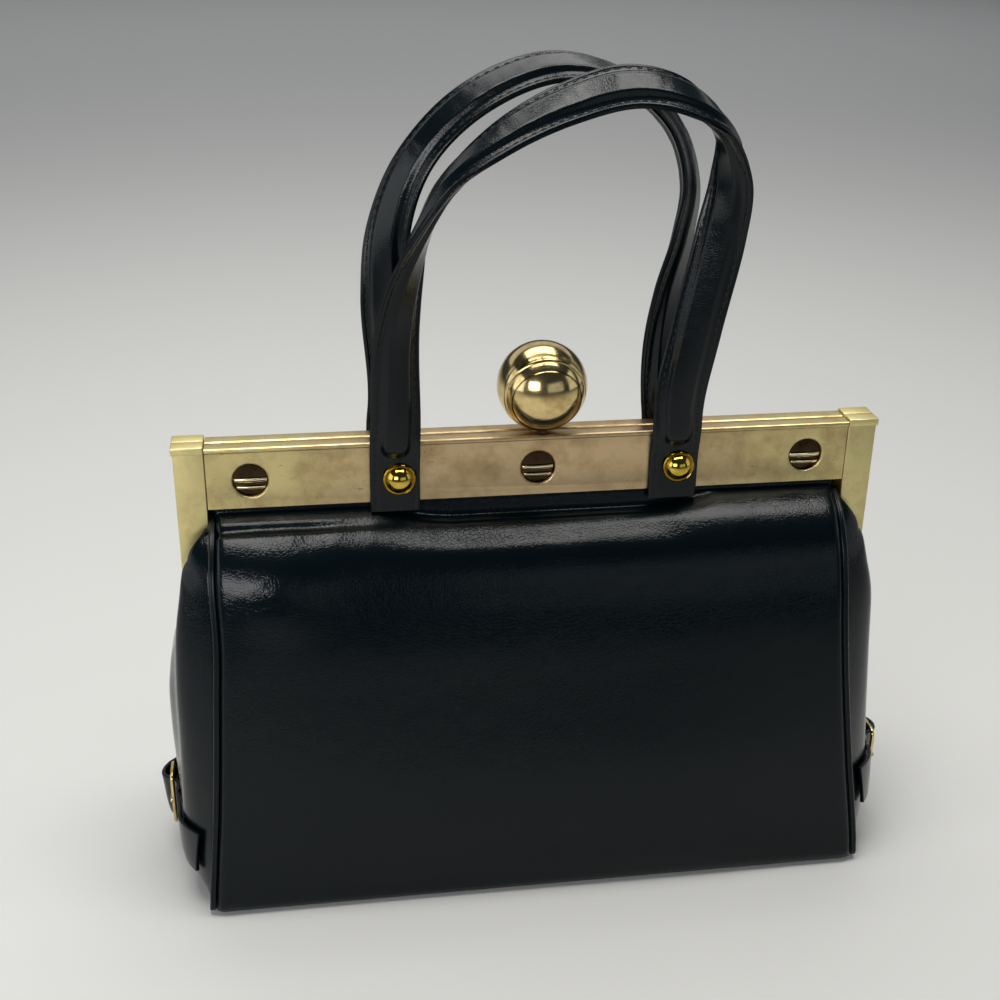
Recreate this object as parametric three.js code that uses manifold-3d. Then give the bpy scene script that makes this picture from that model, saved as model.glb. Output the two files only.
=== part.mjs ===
// Frame handbag: a glossy leather-cloth bag on a gilt two-part frame, with a ball clasp and two handles.
// Millimetres, +Z up. The front faces -Y, and the origin is the middle of the bottom.
import * as THREE from 'three';
import { mergeVertices } from 'three/addons/utils/BufferGeometryUtils.js';
import Module from 'manifold-3d';

const wasm = await Module();
wasm.setup();

// Driving dimensions of the frame
const FRAME_WIDTH = 266;
const FRAME_TOP = 177;
const BAR_HEIGHT = 24;
const LEG_WIDTH = 11;
const LEG_FOOT = 116;
const SHEET_METAL = 1.4;
const BAR_FACE = 5.9;
const LEG_FACE = 6.1;
const SPLIT = 0.2;
const LIP_RADIUS = 1.05;
const LIP_SETBACK = 0.2;
const LIP_TUCK = 0.3;
const CAP_PROUD = 0.6;
const CAP_RISE = 0.9;
const HINGE_PIN_RADIUS = 1.5;
const HINGE_PIN_RISE = 5;

// Fasteners, as centres from the middle of the bag
const SCREW_PLACES = { left: -105.8, middle: 1, right: 105.8 };
const SCREW_HEIGHT = 163.8;
const SCREW_HOLE_RADIUS = 6.5;
const SCREW_SLOT = 1.5;
const SCREW_SLOT_DEPTH = 0.8;
const SCREW_DISC_OVERLAP = 0.8;
const RIVET_PLACES = { left: -51.5, right: 54.5 };
const RIVET_HEIGHT = 163;
const RIVET_HOLE_RADIUS = 2.1;
const RIVET_POST_RADIUS = 1.7;
const RIVET_TAIL_RADIUS = 3;
const BACKING = 1;
const PIERCE_REACH = 20;
// Screw head from its middle to its rim. Columns: share of its radius, and height over the bar's face.
const SCREW_DOME = [
  { share: 0, over: 0.4 },
  { share: 0.65, over: 0 },
  { share: 1, over: -0.7 },
];
// Rivet head from its crown to its rim. Columns: radius, and height over the strap's face.
const RIVET_HEAD = [
  { radius: 0, over: 4.4 },
  { radius: 2.8, over: 3.9 },
  { radius: 4.6, over: 2.6 },
  { radius: 5.3, over: 0.9 },
  { radius: 6.1, over: 0.6 },
  { radius: 6.1, over: 0 },
];

// Ball clasp: a large shell open to the front, and a smaller dome that nests in it
const CLASP_SHIFT = 2.7;
const BALL_RADIUS = 16.85;
const BALL_GAP = 0.6;
const BALL_HEIGHT = FRAME_TOP + BALL_GAP + BALL_RADIUS;
const BALL_WALL = 1.4;
const BALL_MOUTH_RADIUS = 13.9;
const BALL_LIP = 0.9;
const BALL_TILT = THREE.MathUtils.degToRad(12);
const DOME_RADIUS = 13.6;
const DOME_ADVANCE = 3;
const DOME_SKIRT = 2;
const STEM_HALF_WIDTH = 1.5;
const STEM_FRONT = 6.3;
const STEM_BACK = 3.9;
const STEM_HEIGHT = 5;
const STEM_SLOT_HEIGHT = 8;
const NECK = { topRadius: 2.6, footRadius: 3, height: 3, back: 3.35 };

// How finely round shapes are faceted
const FACETS = { screwHole: 20, screwHead: 14, rivet: 12, rivetHole: 10, pin: 10, clasp: 24, neck: 12 };
const ARC_STEPS = { ballOutside: 8, ballInside: 5, domeOutside: 5, domeInside: 4, lip: 4, wire: 4 };

// Leather-cloth body
const LEATHER = 2;
const CLEARANCE = 0.3;
const PIPING_RADIUS = 1.9;
const PIPING_SIDES = 8;
const PIPING_INSET = PIPING_RADIUS + 0.4;
const SEAM_INSET = PIPING_INSET + PIPING_RADIUS + 2 * CLEARANCE;
const SEAM_TOP = 151;
const PANEL_CROWN = 1.6;
const PANEL_COLUMNS = 10;
const CREASE = { height: 145.4, spread: 2.6, depth: 1.5, reach: 62, fade: 25 };

// The front in profile, from the tuck behind the bar to the middle of the bottom. Columns: height, how far
// it stands out from the middle plane, and half the width between the side seams.
const PANEL_PROFILE = [
  { height: 155.4, out: 4, half: 121.5 },
  { height: 152.6, out: 4.1, half: 121.3 },
  { height: 149.6, out: 5.6, half: 119.9 },
  { height: 149, out: 9.4, half: 119.9 },
  { height: 147.2, out: 14.2, half: 119.8 },
  { height: 145.6, out: 18, half: 119.8 },
  { height: 142, out: 21.4, half: 119.8 },
  { height: 134, out: 24.8, half: 119.9 },
  { height: 122, out: 29.3, half: 119.9 },
  { height: 108, out: 33.2, half: 120 },
  { height: 88, out: 37, half: 121.1 },
  { height: 64, out: 40.8, half: 122.8 },
  { height: 41, out: 43.6, half: 124.9 },
  { height: 20, out: 45.4, half: 127.3 },
  { height: 9, out: 46, half: 128.4 },
  { height: 2.4, out: 45.4, half: 128.9 },
  { height: 0.5, out: 43.4, half: 129 },
  { height: 0, out: 40.5, half: 129 },
  { height: 0, out: 0, half: 129 },
];

// The side wall from the top corner down. Columns: height, reach of the puff beside the frame leg, and
// reach of the middle, which runs inside the legs above their feet.
const GUSSET_ROWS = [
  { height: 143.4, puff: 121.6, middle: 119.4 },
  { height: 142.2, puff: 125.8, middle: 119.5 },
  { height: 140, puff: 128.8, middle: 119.5 },
  { height: 136, puff: 130.3, middle: 119.7 },
  { height: 129, puff: 131.8, middle: 119.9 },
  { height: 122, puff: 133, middle: 120 },
  { height: 116, puff: 134, middle: 120.4 },
  { height: 111.5, puff: 134.8, middle: 124.5 },
  { height: 106.5, puff: 135.3, middle: 132 },
  { height: 99, puff: 135.9, middle: 136.6 },
  { height: 85, puff: 136.6, middle: 139.8 },
  { height: 65, puff: 137.2, middle: 141 },
  { height: 45, puff: 138, middle: 140.6 },
  { height: 28, puff: 138.4, middle: 139.8 },
  { height: 14, puff: 137, middle: 138 },
  { height: 8, puff: 134.6, middle: 135.4 },
  { height: SEAM_INSET + CLEARANCE, puff: 131, middle: 131.4 },
];
const LEG_CHANNEL = 7.2;
const CHANNEL_SHARE = 0.6;
const PUFF_CREST = 0.45;
const GUSSET_STEPS = [0, 0.15, 0.3, 0.45, 0.66, 0.86];

// Handles. Columns: centre of the strap, direction to the edge that is near the front over the crown, and
// how far the padding has risen.
const STRAP_WIDTH = 18.5;
const STRAP_FLANGE = 2.4;
const STRAP_PADDING = 1.6;
const STRAP_SECTION = [
  { across: -1, padded: 0 },
  { across: -0.58, padded: 0 },
  { across: -0.4, padded: 1 },
  { across: 0.4, padded: 1 },
  { across: 0.58, padded: 0 },
  { across: 1, padded: 0 },
];
const STRAP_STEPS = 27;
const HANDLE_FRONT = [
  { centre: [-53, -7.4, 150], edge: [-1, 0, 0], pad: 0 },
  { centre: [-53, -7.4, 168], edge: [-1, 0, 0], pad: 0 },
  { centre: [-52.8, -8.5, 177.5], edge: [-1, 0, 0], pad: 0.1 },
  { centre: [-52.4, -8.8, 184], edge: [-0.99, -0.1, 0], pad: 1 },
  { centre: [-50.2, -9.4, 222], edge: [-0.86, -0.5, 0.03], pad: 1 },
  { centre: [-46.6, -10, 240], edge: [-0.65, -0.75, 0.07], pad: 1 },
  { centre: [-41.4, -10.5, 255.5], edge: [-0.2, -0.96, 0.2], pad: 1 },
  { centre: [-33, -11, 271], edge: [0.12, -0.98, 0.1], pad: 1 },
  { centre: [-16.5, -11.5, 285.6], edge: [0.2, -0.97, -0.1], pad: 1 },
  { centre: [8, -11.5, 298.4], edge: [0.14, -0.92, -0.36], pad: 1 },
  { centre: [31, -11, 303.6], edge: [0, -0.91, -0.4], pad: 1 },
  { centre: [50, -10.5, 299], edge: [-0.22, -0.95, -0.15], pad: 1 },
  { centre: [63, -10, 287.6], edge: [0, -0.99, 0.05], pad: 1 },
  { centre: [67, -9.5, 271], edge: [0.55, -0.83, 0.05], pad: 1 },
  { centre: [65, -9.2, 252], edge: [0.84, -0.53, 0.1], pad: 1 },
  { centre: [59, -9, 217.5], edge: [0.92, -0.36, 0.12], pad: 1 },
  { centre: [54, -8.8, 186], edge: [0.99, -0.1, 0.03], pad: 1 },
  { centre: [53.2, -8.5, 177.5], edge: [1, 0, 0], pad: 0.1 },
  { centre: [53, -7.4, 168], edge: [1, 0, 0], pad: 0 },
  { centre: [53, -7.4, 150], edge: [1, 0, 0], pad: 0 },
];
const HANDLE_BACK = [
  { centre: [-53, 7.4, 150], edge: [1, 0, 0], pad: 0 },
  { centre: [-53, 7.4, 168], edge: [1, 0, 0], pad: 0 },
  { centre: [-53, 8.5, 177.5], edge: [1, 0, 0], pad: 0.1 },
  { centre: [-53, 8.8, 186], edge: [0.99, -0.1, 0], pad: 1 },
  { centre: [-53.2, 9, 228], edge: [0.94, -0.33, 0], pad: 1 },
  { centre: [-51.4, 9.5, 251], edge: [0.76, -0.63, 0.1], pad: 1 },
  { centre: [-43, 10, 273.8], edge: [0.6, -0.79, -0.05], pad: 1 },
  { centre: [-24.5, 10.5, 294.6], edge: [0.34, -0.9, -0.26], pad: 1 },
  { centre: [11, 10.5, 307.2], edge: [0.06, -0.97, -0.25], pad: 1 },
  { centre: [36, 10, 299.6], edge: [-0.12, -0.96, -0.2], pad: 1 },
  { centre: [51.4, 9.6, 284.6], edge: [-0.36, -0.92, 0.06], pad: 1 },
  { centre: [57.6, 9.2, 265], edge: [-0.46, -0.86, 0.2], pad: 1 },
  { centre: [56, 9, 247], edge: [-0.57, -0.79, 0.22], pad: 1 },
  { centre: [52.6, 8.9, 227], edge: [-0.75, -0.63, 0.18], pad: 1 },
  { centre: [52, 8.8, 205], edge: [-0.95, -0.28, 0.08], pad: 1 },
  { centre: [52.8, 8.6, 185], edge: [-1, -0.05, 0], pad: 1 },
  { centre: [53, 8.5, 177.5], edge: [-1, 0, 0], pad: 0.1 },
  { centre: [53, 7.4, 168], edge: [-1, 0, 0], pad: 0 },
  { centre: [53, 7.4, 150], edge: [-1, 0, 0], pad: 0 },
];

// Belts low on the side walls
// Columns by side: height of the belt's middle, of the buckle's middle, and how far back its fold lies.
const BELTS = {
  left: { side: -1, height: 24.5, buckleHeight: 25, back: 0 },
  right: { side: 1, height: 30.5, buckleHeight: 31, back: -13 },
};
const BELT_WIDTH = 17.5;
const BELT_THICK = 1.6;
const BELT_LIFT = 0.8;
const BELT_STRIPS = [-1, -1 / 3, 1 / 3, 1];
const BUCKLE_HEIGHT = 24;
const BUCKLE_WIDTH = 13;
const BUCKLE_WIRE = 1.6;
const BUCKLE_LIFT = 3.5;
const BUCKLE_CORNER = 2.6;
const BUCKLE_BACK = -0.5;
const PRONG = { length: 4.4, halfWidth: 0.8, sink: 0.64, rise: 2.08 };
// From the fold's place. Columns: distance back, and lift off the gusset.
const STRAP_LIFTS = [
  { y: 20, lift: 0.9 },
  { y: 14, lift: 1.8 },
  { y: 9.8, lift: 5.4 },
  { y: 6.7, lift: 7 },
  { y: 3.6, lift: 7 },
  { y: 0.6, lift: 4.2 },
  { y: -2.2, lift: 1.6 },
  { y: -4.6, lift: 0.8 },
  { y: -8.5, lift: 0.8 },
];
const STRAP_START = 36;
const STRAP_STRIDE = 8;
const TAB_START = -38;
const TAB_END = -10.5;
const TAB_STEPS = 5;

// Materials
const blackLeather = new THREE.MeshStandardMaterial({ color: '#0b0d11', roughness: 0.25, metalness: 0 });
const blackPiping = new THREE.MeshStandardMaterial({ color: '#0a0b0e', roughness: 0.32, metalness: 0 });
const gilt = new THREE.MeshStandardMaterial({ color: '#b09a62', roughness: 0.38, metalness: 1 });
const polishedGilt = new THREE.MeshStandardMaterial({ color: '#c9a95a', roughness: 0.12, metalness: 1 });

const bag = new THREE.Group();

function addPiece(name, geometry, material) {
  const mesh = new THREE.Mesh(geometry, material);
  mesh.name = name;
  bag.add(mesh);
}

// A geometry with shared vertices, no collapsed triangles, and its faces pointing out.
function closed(geometry) {
  const bare = new THREE.BufferGeometry();
  bare.setAttribute('position', geometry.getAttribute('position').clone());
  if (geometry.index) {
    bare.setIndex(geometry.index.clone());
  }
  const merged = mergeVertices(bare, 1e-4);
  const position = merged.getAttribute('position');
  const corners = [0, 1, 2].map(() => new THREE.Vector3());
  const kept = [];
  let volume = 0;
  for (let i = 0; i < merged.index.count; i += 3) {
    const [a, b, c] = merged.index.array.slice(i, i + 3);
    if (a === b || b === c || c === a) {
      continue;
    }
    kept.push([a, b, c]);
    [a, b, c].forEach((vertex, k) => corners[k].fromBufferAttribute(position, vertex));
    volume += corners[0].dot(corners[1].clone().cross(corners[2]));
  }
  merged.setIndex(kept.flatMap(([a, b, c]) => (volume < 0 ? [a, c, b] : [a, b, c])));
  return merged;
}

function toSolid(geometry) {
  const shape = closed(geometry);
  const vertProperties = new Float32Array(shape.getAttribute('position').array);
  const triVerts = new Uint32Array(shape.index.array);
  return new wasm.Manifold(new wasm.Mesh({ numProp: 3, vertProperties, triVerts }));
}

function fromSolid(solid) {
  const mesh = solid.getMesh();
  const geometry = new THREE.BufferGeometry();
  geometry.setAttribute('position', new THREE.BufferAttribute(mesh.vertProperties, mesh.numProp));
  geometry.setIndex(new THREE.BufferAttribute(mesh.triVerts, 1));
  return geometry;
}

function join(...geometries) {
  return fromSolid(geometries.map(toSolid).reduce((whole, next) => whole.add(next)));
}

function cut(geometry, ...tools) {
  return fromSolid(tools.map(toSolid).reduce((whole, next) => whole.subtract(next), toSolid(geometry)));
}

// A box given by its lowest and highest corners, in either order along each axis.
function boxBetween(from, to) {
  const box = new THREE.Box3().setFromPoints([new THREE.Vector3(...from), new THREE.Vector3(...to)]);
  const size = box.getSize(new THREE.Vector3());
  const centre = box.getCenter(new THREE.Vector3());
  return new THREE.BoxGeometry(size.x, size.y, size.z).translate(centre.x, centre.y, centre.z);
}

// A straight rod along Y.
function rodAlongY(radius, fromY, toY, x, z, sides) {
  const rod = new THREE.CylinderGeometry(radius, radius, Math.abs(toY - fromY), sides);
  return rod.translate(x, (fromY + toY) / 2, z);
}

// A turned shape about Y. Columns of each row: radius, and distance out from the middle plane on that face.
function turnedAlongY(rows, face, x, z, sides) {
  const profile = rows.map(({ radius, out }) => new THREE.Vector2(radius, face * out));
  return new THREE.LatheGeometry(profile, sides).translate(x, 0, z);
}

function extruded(shape, depth, curveSegments) {
  return new THREE.ExtrudeGeometry(shape, { depth, bevelEnabled: false, curveSegments });
}

// The turn that lays the X, Y and Z axes along three given directions.
function axesOf(...directions) {
  return new THREE.Matrix4().makeBasis(...directions.map((axis) => new THREE.Vector3(...axis)));
}

// Value of a column at a height, from a table whose heights fall from row to row.
function atHeight(rows, height, column) {
  const below = Math.max(1, rows.findIndex((row) => row.height <= height));
  const [high, low] = [rows[below - 1], rows[below]];
  const share = (high.height - height) / (high.height - low.height);
  return THREE.MathUtils.lerp(high[column], low[column], THREE.MathUtils.clamp(share, 0, 1));
}

// Normals of a grid of points, from its neighbours along rows and columns.
function gridNormals(grid) {
  const pick = (list, index) => list[THREE.MathUtils.clamp(index, 0, list.length - 1)];
  return grid.map((row, r) => row.map((point, c) => {
    const along = pick(row, c + 1).clone().sub(pick(row, c - 1));
    const down = pick(grid, r + 1)[c].clone().sub(pick(grid, r - 1)[c]);
    return down.cross(along).normalize();
  }));
}

function offsetGrid(grid, distances) {
  const normals = gridNormals(grid);
  const moved = (point, r, c) => point.clone().addScaledVector(normals[r][c], distances[r]);
  return grid.map((row, r) => row.map((point, c) => moved(point, r, c)));
}

// A closed wall between two grids of the same shape.
function wallBetween(outer, inner) {
  const [rows, columns] = [outer.length, outer[0].length];
  const last = columns - 1;
  const points = [...outer.flat(), ...inner.flat()];
  const at = (layer, r, c) => layer * rows * columns + r * columns + c;
  const index = [];
  const quad = (a, b, c, d) => index.push(a, b, c, a, c, d);
  for (let r = 0; r + 1 < rows; r += 1) {
    for (let c = 0; c + 1 < columns; c += 1) {
      quad(at(0, r, c), at(0, r, c + 1), at(0, r + 1, c + 1), at(0, r + 1, c));
      quad(at(1, r, c), at(1, r + 1, c), at(1, r + 1, c + 1), at(1, r, c + 1));
    }
    quad(at(0, r, 0), at(0, r + 1, 0), at(1, r + 1, 0), at(1, r, 0));
    quad(at(0, r + 1, last), at(0, r, last), at(1, r, last), at(1, r + 1, last));
  }
  for (let c = 0; c + 1 < columns; c += 1) {
    quad(at(0, 0, c + 1), at(0, 0, c), at(1, 0, c), at(1, 0, c + 1));
    quad(at(0, rows - 1, c), at(0, rows - 1, c + 1), at(1, rows - 1, c + 1), at(1, rows - 1, c));
  }
  return closed(new THREE.BufferGeometry().setFromPoints(points).setIndex(index));
}

// A wall of even thickness on the side of the grid that its normals turn away from.
function wallBehind(grid, thickness) {
  return wallBetween(grid, offsetGrid(grid, grid.map(() => -thickness)));
}

// Body panel: the front profile, and its mirror image for the back
function panelRows() {
  const front = PANEL_PROFILE.map((row) => ({ ...row, face: -1 }));
  const back = PANEL_PROFILE.slice(0, -1).reverse().map((row) => ({ ...row, face: 1 }));
  return [...front, ...back];
}

// How far a point of the front or back stands out from the flat profile: a soft crown, and a crease that
// runs in from the left seam under the bar.
function panelRelief(x, row) {
  const across = x / row.half;
  const upright = Math.sin(Math.PI * THREE.MathUtils.clamp(row.height / FRAME_TOP, 0, 1));
  const crown = row.height > 0 ? PANEL_CROWN * (1 - across * across) * upright : 0;
  const fold = Math.exp(-(((row.height - CREASE.height) / CREASE.spread) ** 2));
  const reach = THREE.MathUtils.smoothstep(-x, CREASE.reach - CREASE.fade, CREASE.reach + CREASE.fade);
  return row.height < SEAM_TOP ? crown - (row.face < 0 ? CREASE.depth * fold * reach : 0) : 0;
}

function bodyPanel() {
  const grid = panelRows().map((row) => {
    const edge = row.half - PIPING_RADIUS - CLEARANCE;
    return Array.from({ length: PANEL_COLUMNS + 1 }, (unused, column) => {
      const x = edge * (2 * column / PANEL_COLUMNS - 1);
      return new THREE.Vector3(x, row.face * (row.out + panelRelief(x, row)), row.height);
    });
  });
  return wallBehind(grid, LEATHER);
}

// The front seam in profile, moved in from the panel's outer face, with the columns of its profile.
function insetProfile(inset) {
  const rows = PANEL_PROFILE.filter((row) => row.height < SEAM_TOP);
  return rows.map((row, i) => {
    const before = rows[Math.max(0, i - 1)];
    const after = rows[Math.min(rows.length - 1, i + 1)];
    const along = new THREE.Vector2(after.out - before.out, after.height - before.height).normalize();
    return { height: row.height - inset * along.x, out: row.out + inset * along.y, half: row.half };
  });
}

function piping(side) {
  const front = insetProfile(PIPING_INSET).map((row) => ({ ...row, y: -row.out }));
  const back = front.slice(0, -1).reverse().map((row) => ({ ...row, y: row.out }));
  const line = [...front, ...back].map(({ half, y, height }) => new THREE.Vector3(side * half, y, height));
  const across = new THREE.Vector3(1, 0, 0);
  const loops = line.map((centre, i) => {
    const along = line[Math.min(i + 1, line.length - 1)].clone().sub(line[Math.max(i - 1, 0)]);
    const outward = along.cross(across).normalize();
    return Array.from({ length: PIPING_SIDES }, (unused, k) => {
      const angle = 2 * Math.PI * k / PIPING_SIDES;
      return centre.clone()
        .addScaledVector(across, PIPING_RADIUS * Math.cos(angle))
        .addScaledVector(outward, PIPING_RADIUS * Math.sin(angle));
    });
  });
  return sweptLoops(loops);
}

const GUSSET_SEAM = insetProfile(SEAM_INSET);

function gussetEdge(height) {
  return atHeight(GUSSET_SEAM, height, 'out');
}

function gussetChannel(height) {
  return Math.min(LEG_CHANNEL, CHANNEL_SHARE * gussetEdge(height));
}

// Reach of the gusset's outer face at a depth and height. It rises from the seam to a puff, and falls to
// the level of its middle in the channel where the frame leg lies.
function gussetReach(depth, height) {
  const seam = atHeight(GUSSET_SEAM, height, 'half') + LEATHER / 2;
  const puff = atHeight(GUSSET_ROWS, height, 'puff');
  const middle = atHeight(GUSSET_ROWS, height, 'middle');
  const [edge, channel] = [gussetEdge(height), gussetChannel(height)];
  const share = THREE.MathUtils.clamp((edge - Math.abs(depth)) / (edge - channel), 0, 1);
  if (share < PUFF_CREST) {
    return THREE.MathUtils.lerp(seam, puff, Math.sin(Math.PI / 2 * share / PUFF_CREST));
  }
  const fall = Math.cos(Math.PI / 2 * (share - PUFF_CREST) / (1 - PUFF_CREST)) ** 2;
  return THREE.MathUtils.lerp(middle, puff, fall);
}

function gussetPoint(side, depth, height) {
  return new THREE.Vector3(side * gussetReach(depth, height), depth, height);
}

function gusset(side) {
  const grid = GUSSET_ROWS.map(({ height }) => {
    const [edge, channel] = [gussetEdge(height), gussetChannel(height)];
    const half = [...GUSSET_STEPS.map((step) => THREE.MathUtils.lerp(edge, channel, step)), channel];
    const depths = [...half.map((depth) => -depth), 0, ...half.reverse()];
    return (side < 0 ? depths.reverse() : depths).map((depth) => gussetPoint(side, depth, height));
  });
  return wallBehind(grid, LEATHER);
}

// A hole through the metal or leather of one face
function piercing(radius, face, x, height, sides) {
  return rodAlongY(radius, face, face * PIERCE_REACH, x, height, sides);
}

function rivetHoles(face) {
  const places = Object.values(RIVET_PLACES);
  return places.map((x) => piercing(RIVET_HOLE_RADIUS, face, x, RIVET_HEIGHT, FACETS.rivetHole));
}

function screwHoles(face) {
  const places = Object.values(SCREW_PLACES);
  return places.map((x) => piercing(SCREW_HOLE_RADIUS, face, x, SCREW_HEIGHT, FACETS.screwHole));
}

// Frame bar: a flat face, a top flange and a rolled lip along the upper edge, pierced for screws and rivets
function frameBar(face) {
  const bottom = FRAME_TOP - BAR_HEIGHT;
  const back = BAR_FACE - SHEET_METAL;
  const [lipOut, lipHeight] = [BAR_FACE - LIP_SETBACK, FRAME_TOP - LIP_RADIUS];
  const section = new THREE.Shape();
  section.moveTo(back, bottom);
  section.lineTo(BAR_FACE, bottom);
  section.lineTo(BAR_FACE, FRAME_TOP - 2 * LIP_RADIUS);
  section.absarc(lipOut, lipHeight, LIP_RADIUS, -Math.PI / 2 + LIP_TUCK, Math.PI / 2);
  section.lineTo(SPLIT, FRAME_TOP);
  section.lineTo(SPLIT, FRAME_TOP - SHEET_METAL);
  section.lineTo(back, FRAME_TOP - SHEET_METAL);
  section.closePath();
  const length = FRAME_WIDTH - 2 * (LEG_WIDTH + CLEARANCE);
  const blank = extruded(section, length, ARC_STEPS.lip).translate(0, 0, -length / 2);
  blank.applyMatrix4(axesOf([0, face, 0], [0, 0, 1], [1, 0, 0]));
  return cut(blank, ...screwHoles(face), ...rivetHoles(face));
}

// Frame leg: an angle of face and edge, with a raised cap over its top
function frameLeg(face, side) {
  const outer = FRAME_WIDTH / 2;
  const inner = outer - LEG_WIDTH;
  const capTop = FRAME_TOP + CAP_RISE;
  const plate = boxBetween(
    [side * inner, face * (LEG_FACE - SHEET_METAL), LEG_FOOT],
    [side * outer, face * LEG_FACE, capTop],
  );
  const edge = boxBetween(
    [side * (outer - SHEET_METAL), face * SPLIT, LEG_FOOT],
    [side * outer, face * LEG_FACE, capTop],
  );
  const cap = boxBetween(
    [side * inner, face * SPLIT, capTop - SHEET_METAL],
    [side * (outer + CAP_PROUD), face * (LEG_FACE + CAP_PROUD), capTop],
  );
  return join(plate, edge, cap);
}

function hingePin(side) {
  const reach = LEG_FACE - SHEET_METAL - CLEARANCE;
  const x = side * (FRAME_WIDTH - LEG_WIDTH) / 2;
  return closed(rodAlongY(HINGE_PIN_RADIUS, -reach, reach, x, LEG_FOOT + HINGE_PIN_RISE, FACETS.pin));
}

// Screw: a low dome with a level slot, held by a disc behind the bar
function frameScrew(face, x) {
  const radius = SCREW_HOLE_RADIUS - CLEARANCE;
  const behind = BAR_FACE - SHEET_METAL - CLEARANCE;
  const disc = radius + SCREW_DISC_OVERLAP;
  const rows = [
    ...SCREW_DOME.map(({ share, over }) => ({ radius: share * radius, out: BAR_FACE + over })),
    { radius, out: behind },
    { radius: disc, out: behind },
    { radius: disc, out: behind - BACKING },
    { radius: 0, out: behind - BACKING },
  ];
  const head = turnedAlongY(rows, face, x, SCREW_HEIGHT, FACETS.screwHead);
  const slot = boxBetween(
    [x - 2 * radius, face * (BAR_FACE - SCREW_SLOT_DEPTH), SCREW_HEIGHT - SCREW_SLOT / 2],
    [x + 2 * radius, face * PIERCE_REACH, SCREW_HEIGHT + SCREW_SLOT / 2],
  );
  return cut(head, slot);
}

// Handle rivet: a dome on a flat rim, a post through strap and bar, and a tail behind the bar
function handleRivet(face, x) {
  const seat = BAR_FACE + 2 * CLEARANCE + STRAP_FLANGE;
  const behind = BAR_FACE - SHEET_METAL - CLEARANCE;
  const rows = [
    ...RIVET_HEAD.map(({ radius, over }) => ({ radius, out: seat + over })),
    { radius: RIVET_POST_RADIUS, out: seat },
    { radius: RIVET_POST_RADIUS, out: behind },
    { radius: RIVET_TAIL_RADIUS, out: behind },
    { radius: RIVET_TAIL_RADIUS, out: behind - BACKING },
    { radius: 0, out: behind - BACKING },
  ];
  return closed(turnedAlongY(rows, face, x, RIVET_HEIGHT, FACETS.rivet));
}

// Points of an arc, from one angle off the clasp's axis to another, about a centre on that axis.
function claspArc(radius, advance, fromAngle, toAngle, steps) {
  return Array.from({ length: steps + 1 }, (unused, i) => {
    const angle = THREE.MathUtils.lerp(fromAngle, toAngle, i / steps);
    return { radius: radius * Math.sin(angle), advance: advance + radius * Math.cos(angle) };
  });
}

// A turned clasp half, whose axis runs through the middle of the ball to the front and a little down.
function turnedClasp(rows) {
  const profile = rows.map(({ radius, advance }) => new THREE.Vector2(Math.max(radius, 0), advance));
  const turned = new THREE.LatheGeometry(profile, FACETS.clasp).rotateX(Math.PI + BALL_TILT);
  return turned.translate(CLASP_SHIFT, 0, BALL_HEIGHT);
}

// Back half: a ball shell with a rolled mouth, slotted below for the dome's stem, on a short neck
function claspBack() {
  const mouth = Math.asin((BALL_MOUTH_RADIUS + BALL_LIP) / BALL_RADIUS);
  const inside = BALL_RADIUS - BALL_WALL;
  const innerMouth = Math.asin((BALL_MOUTH_RADIUS - BALL_LIP) / inside);
  const shell = turnedClasp([
    ...claspArc(BALL_RADIUS, 0, Math.PI, mouth, ARC_STEPS.ballOutside),
    { radius: BALL_MOUTH_RADIUS, advance: BALL_RADIUS * Math.cos(mouth) + BALL_LIP },
    ...claspArc(inside, 0, innerMouth, Math.PI, ARC_STEPS.ballInside),
  ]);
  const slotHalf = STEM_HALF_WIDTH + CLEARANCE;
  const slot = boxBetween(
    [CLASP_SHIFT - slotHalf, -BALL_RADIUS, FRAME_TOP],
    [CLASP_SHIFT + slotHalf, -STEM_BACK + CLEARANCE, FRAME_TOP + STEM_SLOT_HEIGHT],
  );
  const neck = new THREE.CylinderGeometry(NECK.topRadius, NECK.footRadius, NECK.height, FACETS.neck);
  neck.rotateX(Math.PI / 2).translate(CLASP_SHIFT, NECK.back, FRAME_TOP + CLEARANCE + NECK.height / 2);
  return join(cut(shell, slot), neck);
}

// Front half: a dome that fills the mouth of the ball, on a flat stem
function claspFront() {
  const inside = DOME_RADIUS - BALL_WALL;
  const skirt = DOME_ADVANCE - DOME_SKIRT;
  const dome = turnedClasp([
    ...claspArc(DOME_RADIUS, DOME_ADVANCE, 0, Math.PI / 2, ARC_STEPS.domeOutside),
    { radius: DOME_RADIUS, advance: skirt },
    { radius: inside, advance: skirt },
    ...claspArc(inside, DOME_ADVANCE, Math.PI / 2, 0, ARC_STEPS.domeInside),
  ]);
  const stem = boxBetween(
    [CLASP_SHIFT - STEM_HALF_WIDTH, -STEM_FRONT, FRAME_TOP + CLEARANCE],
    [CLASP_SHIFT + STEM_HALF_WIDTH, -STEM_BACK, FRAME_TOP + STEM_HEIGHT],
  );
  return join(dome, stem);
}

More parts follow.
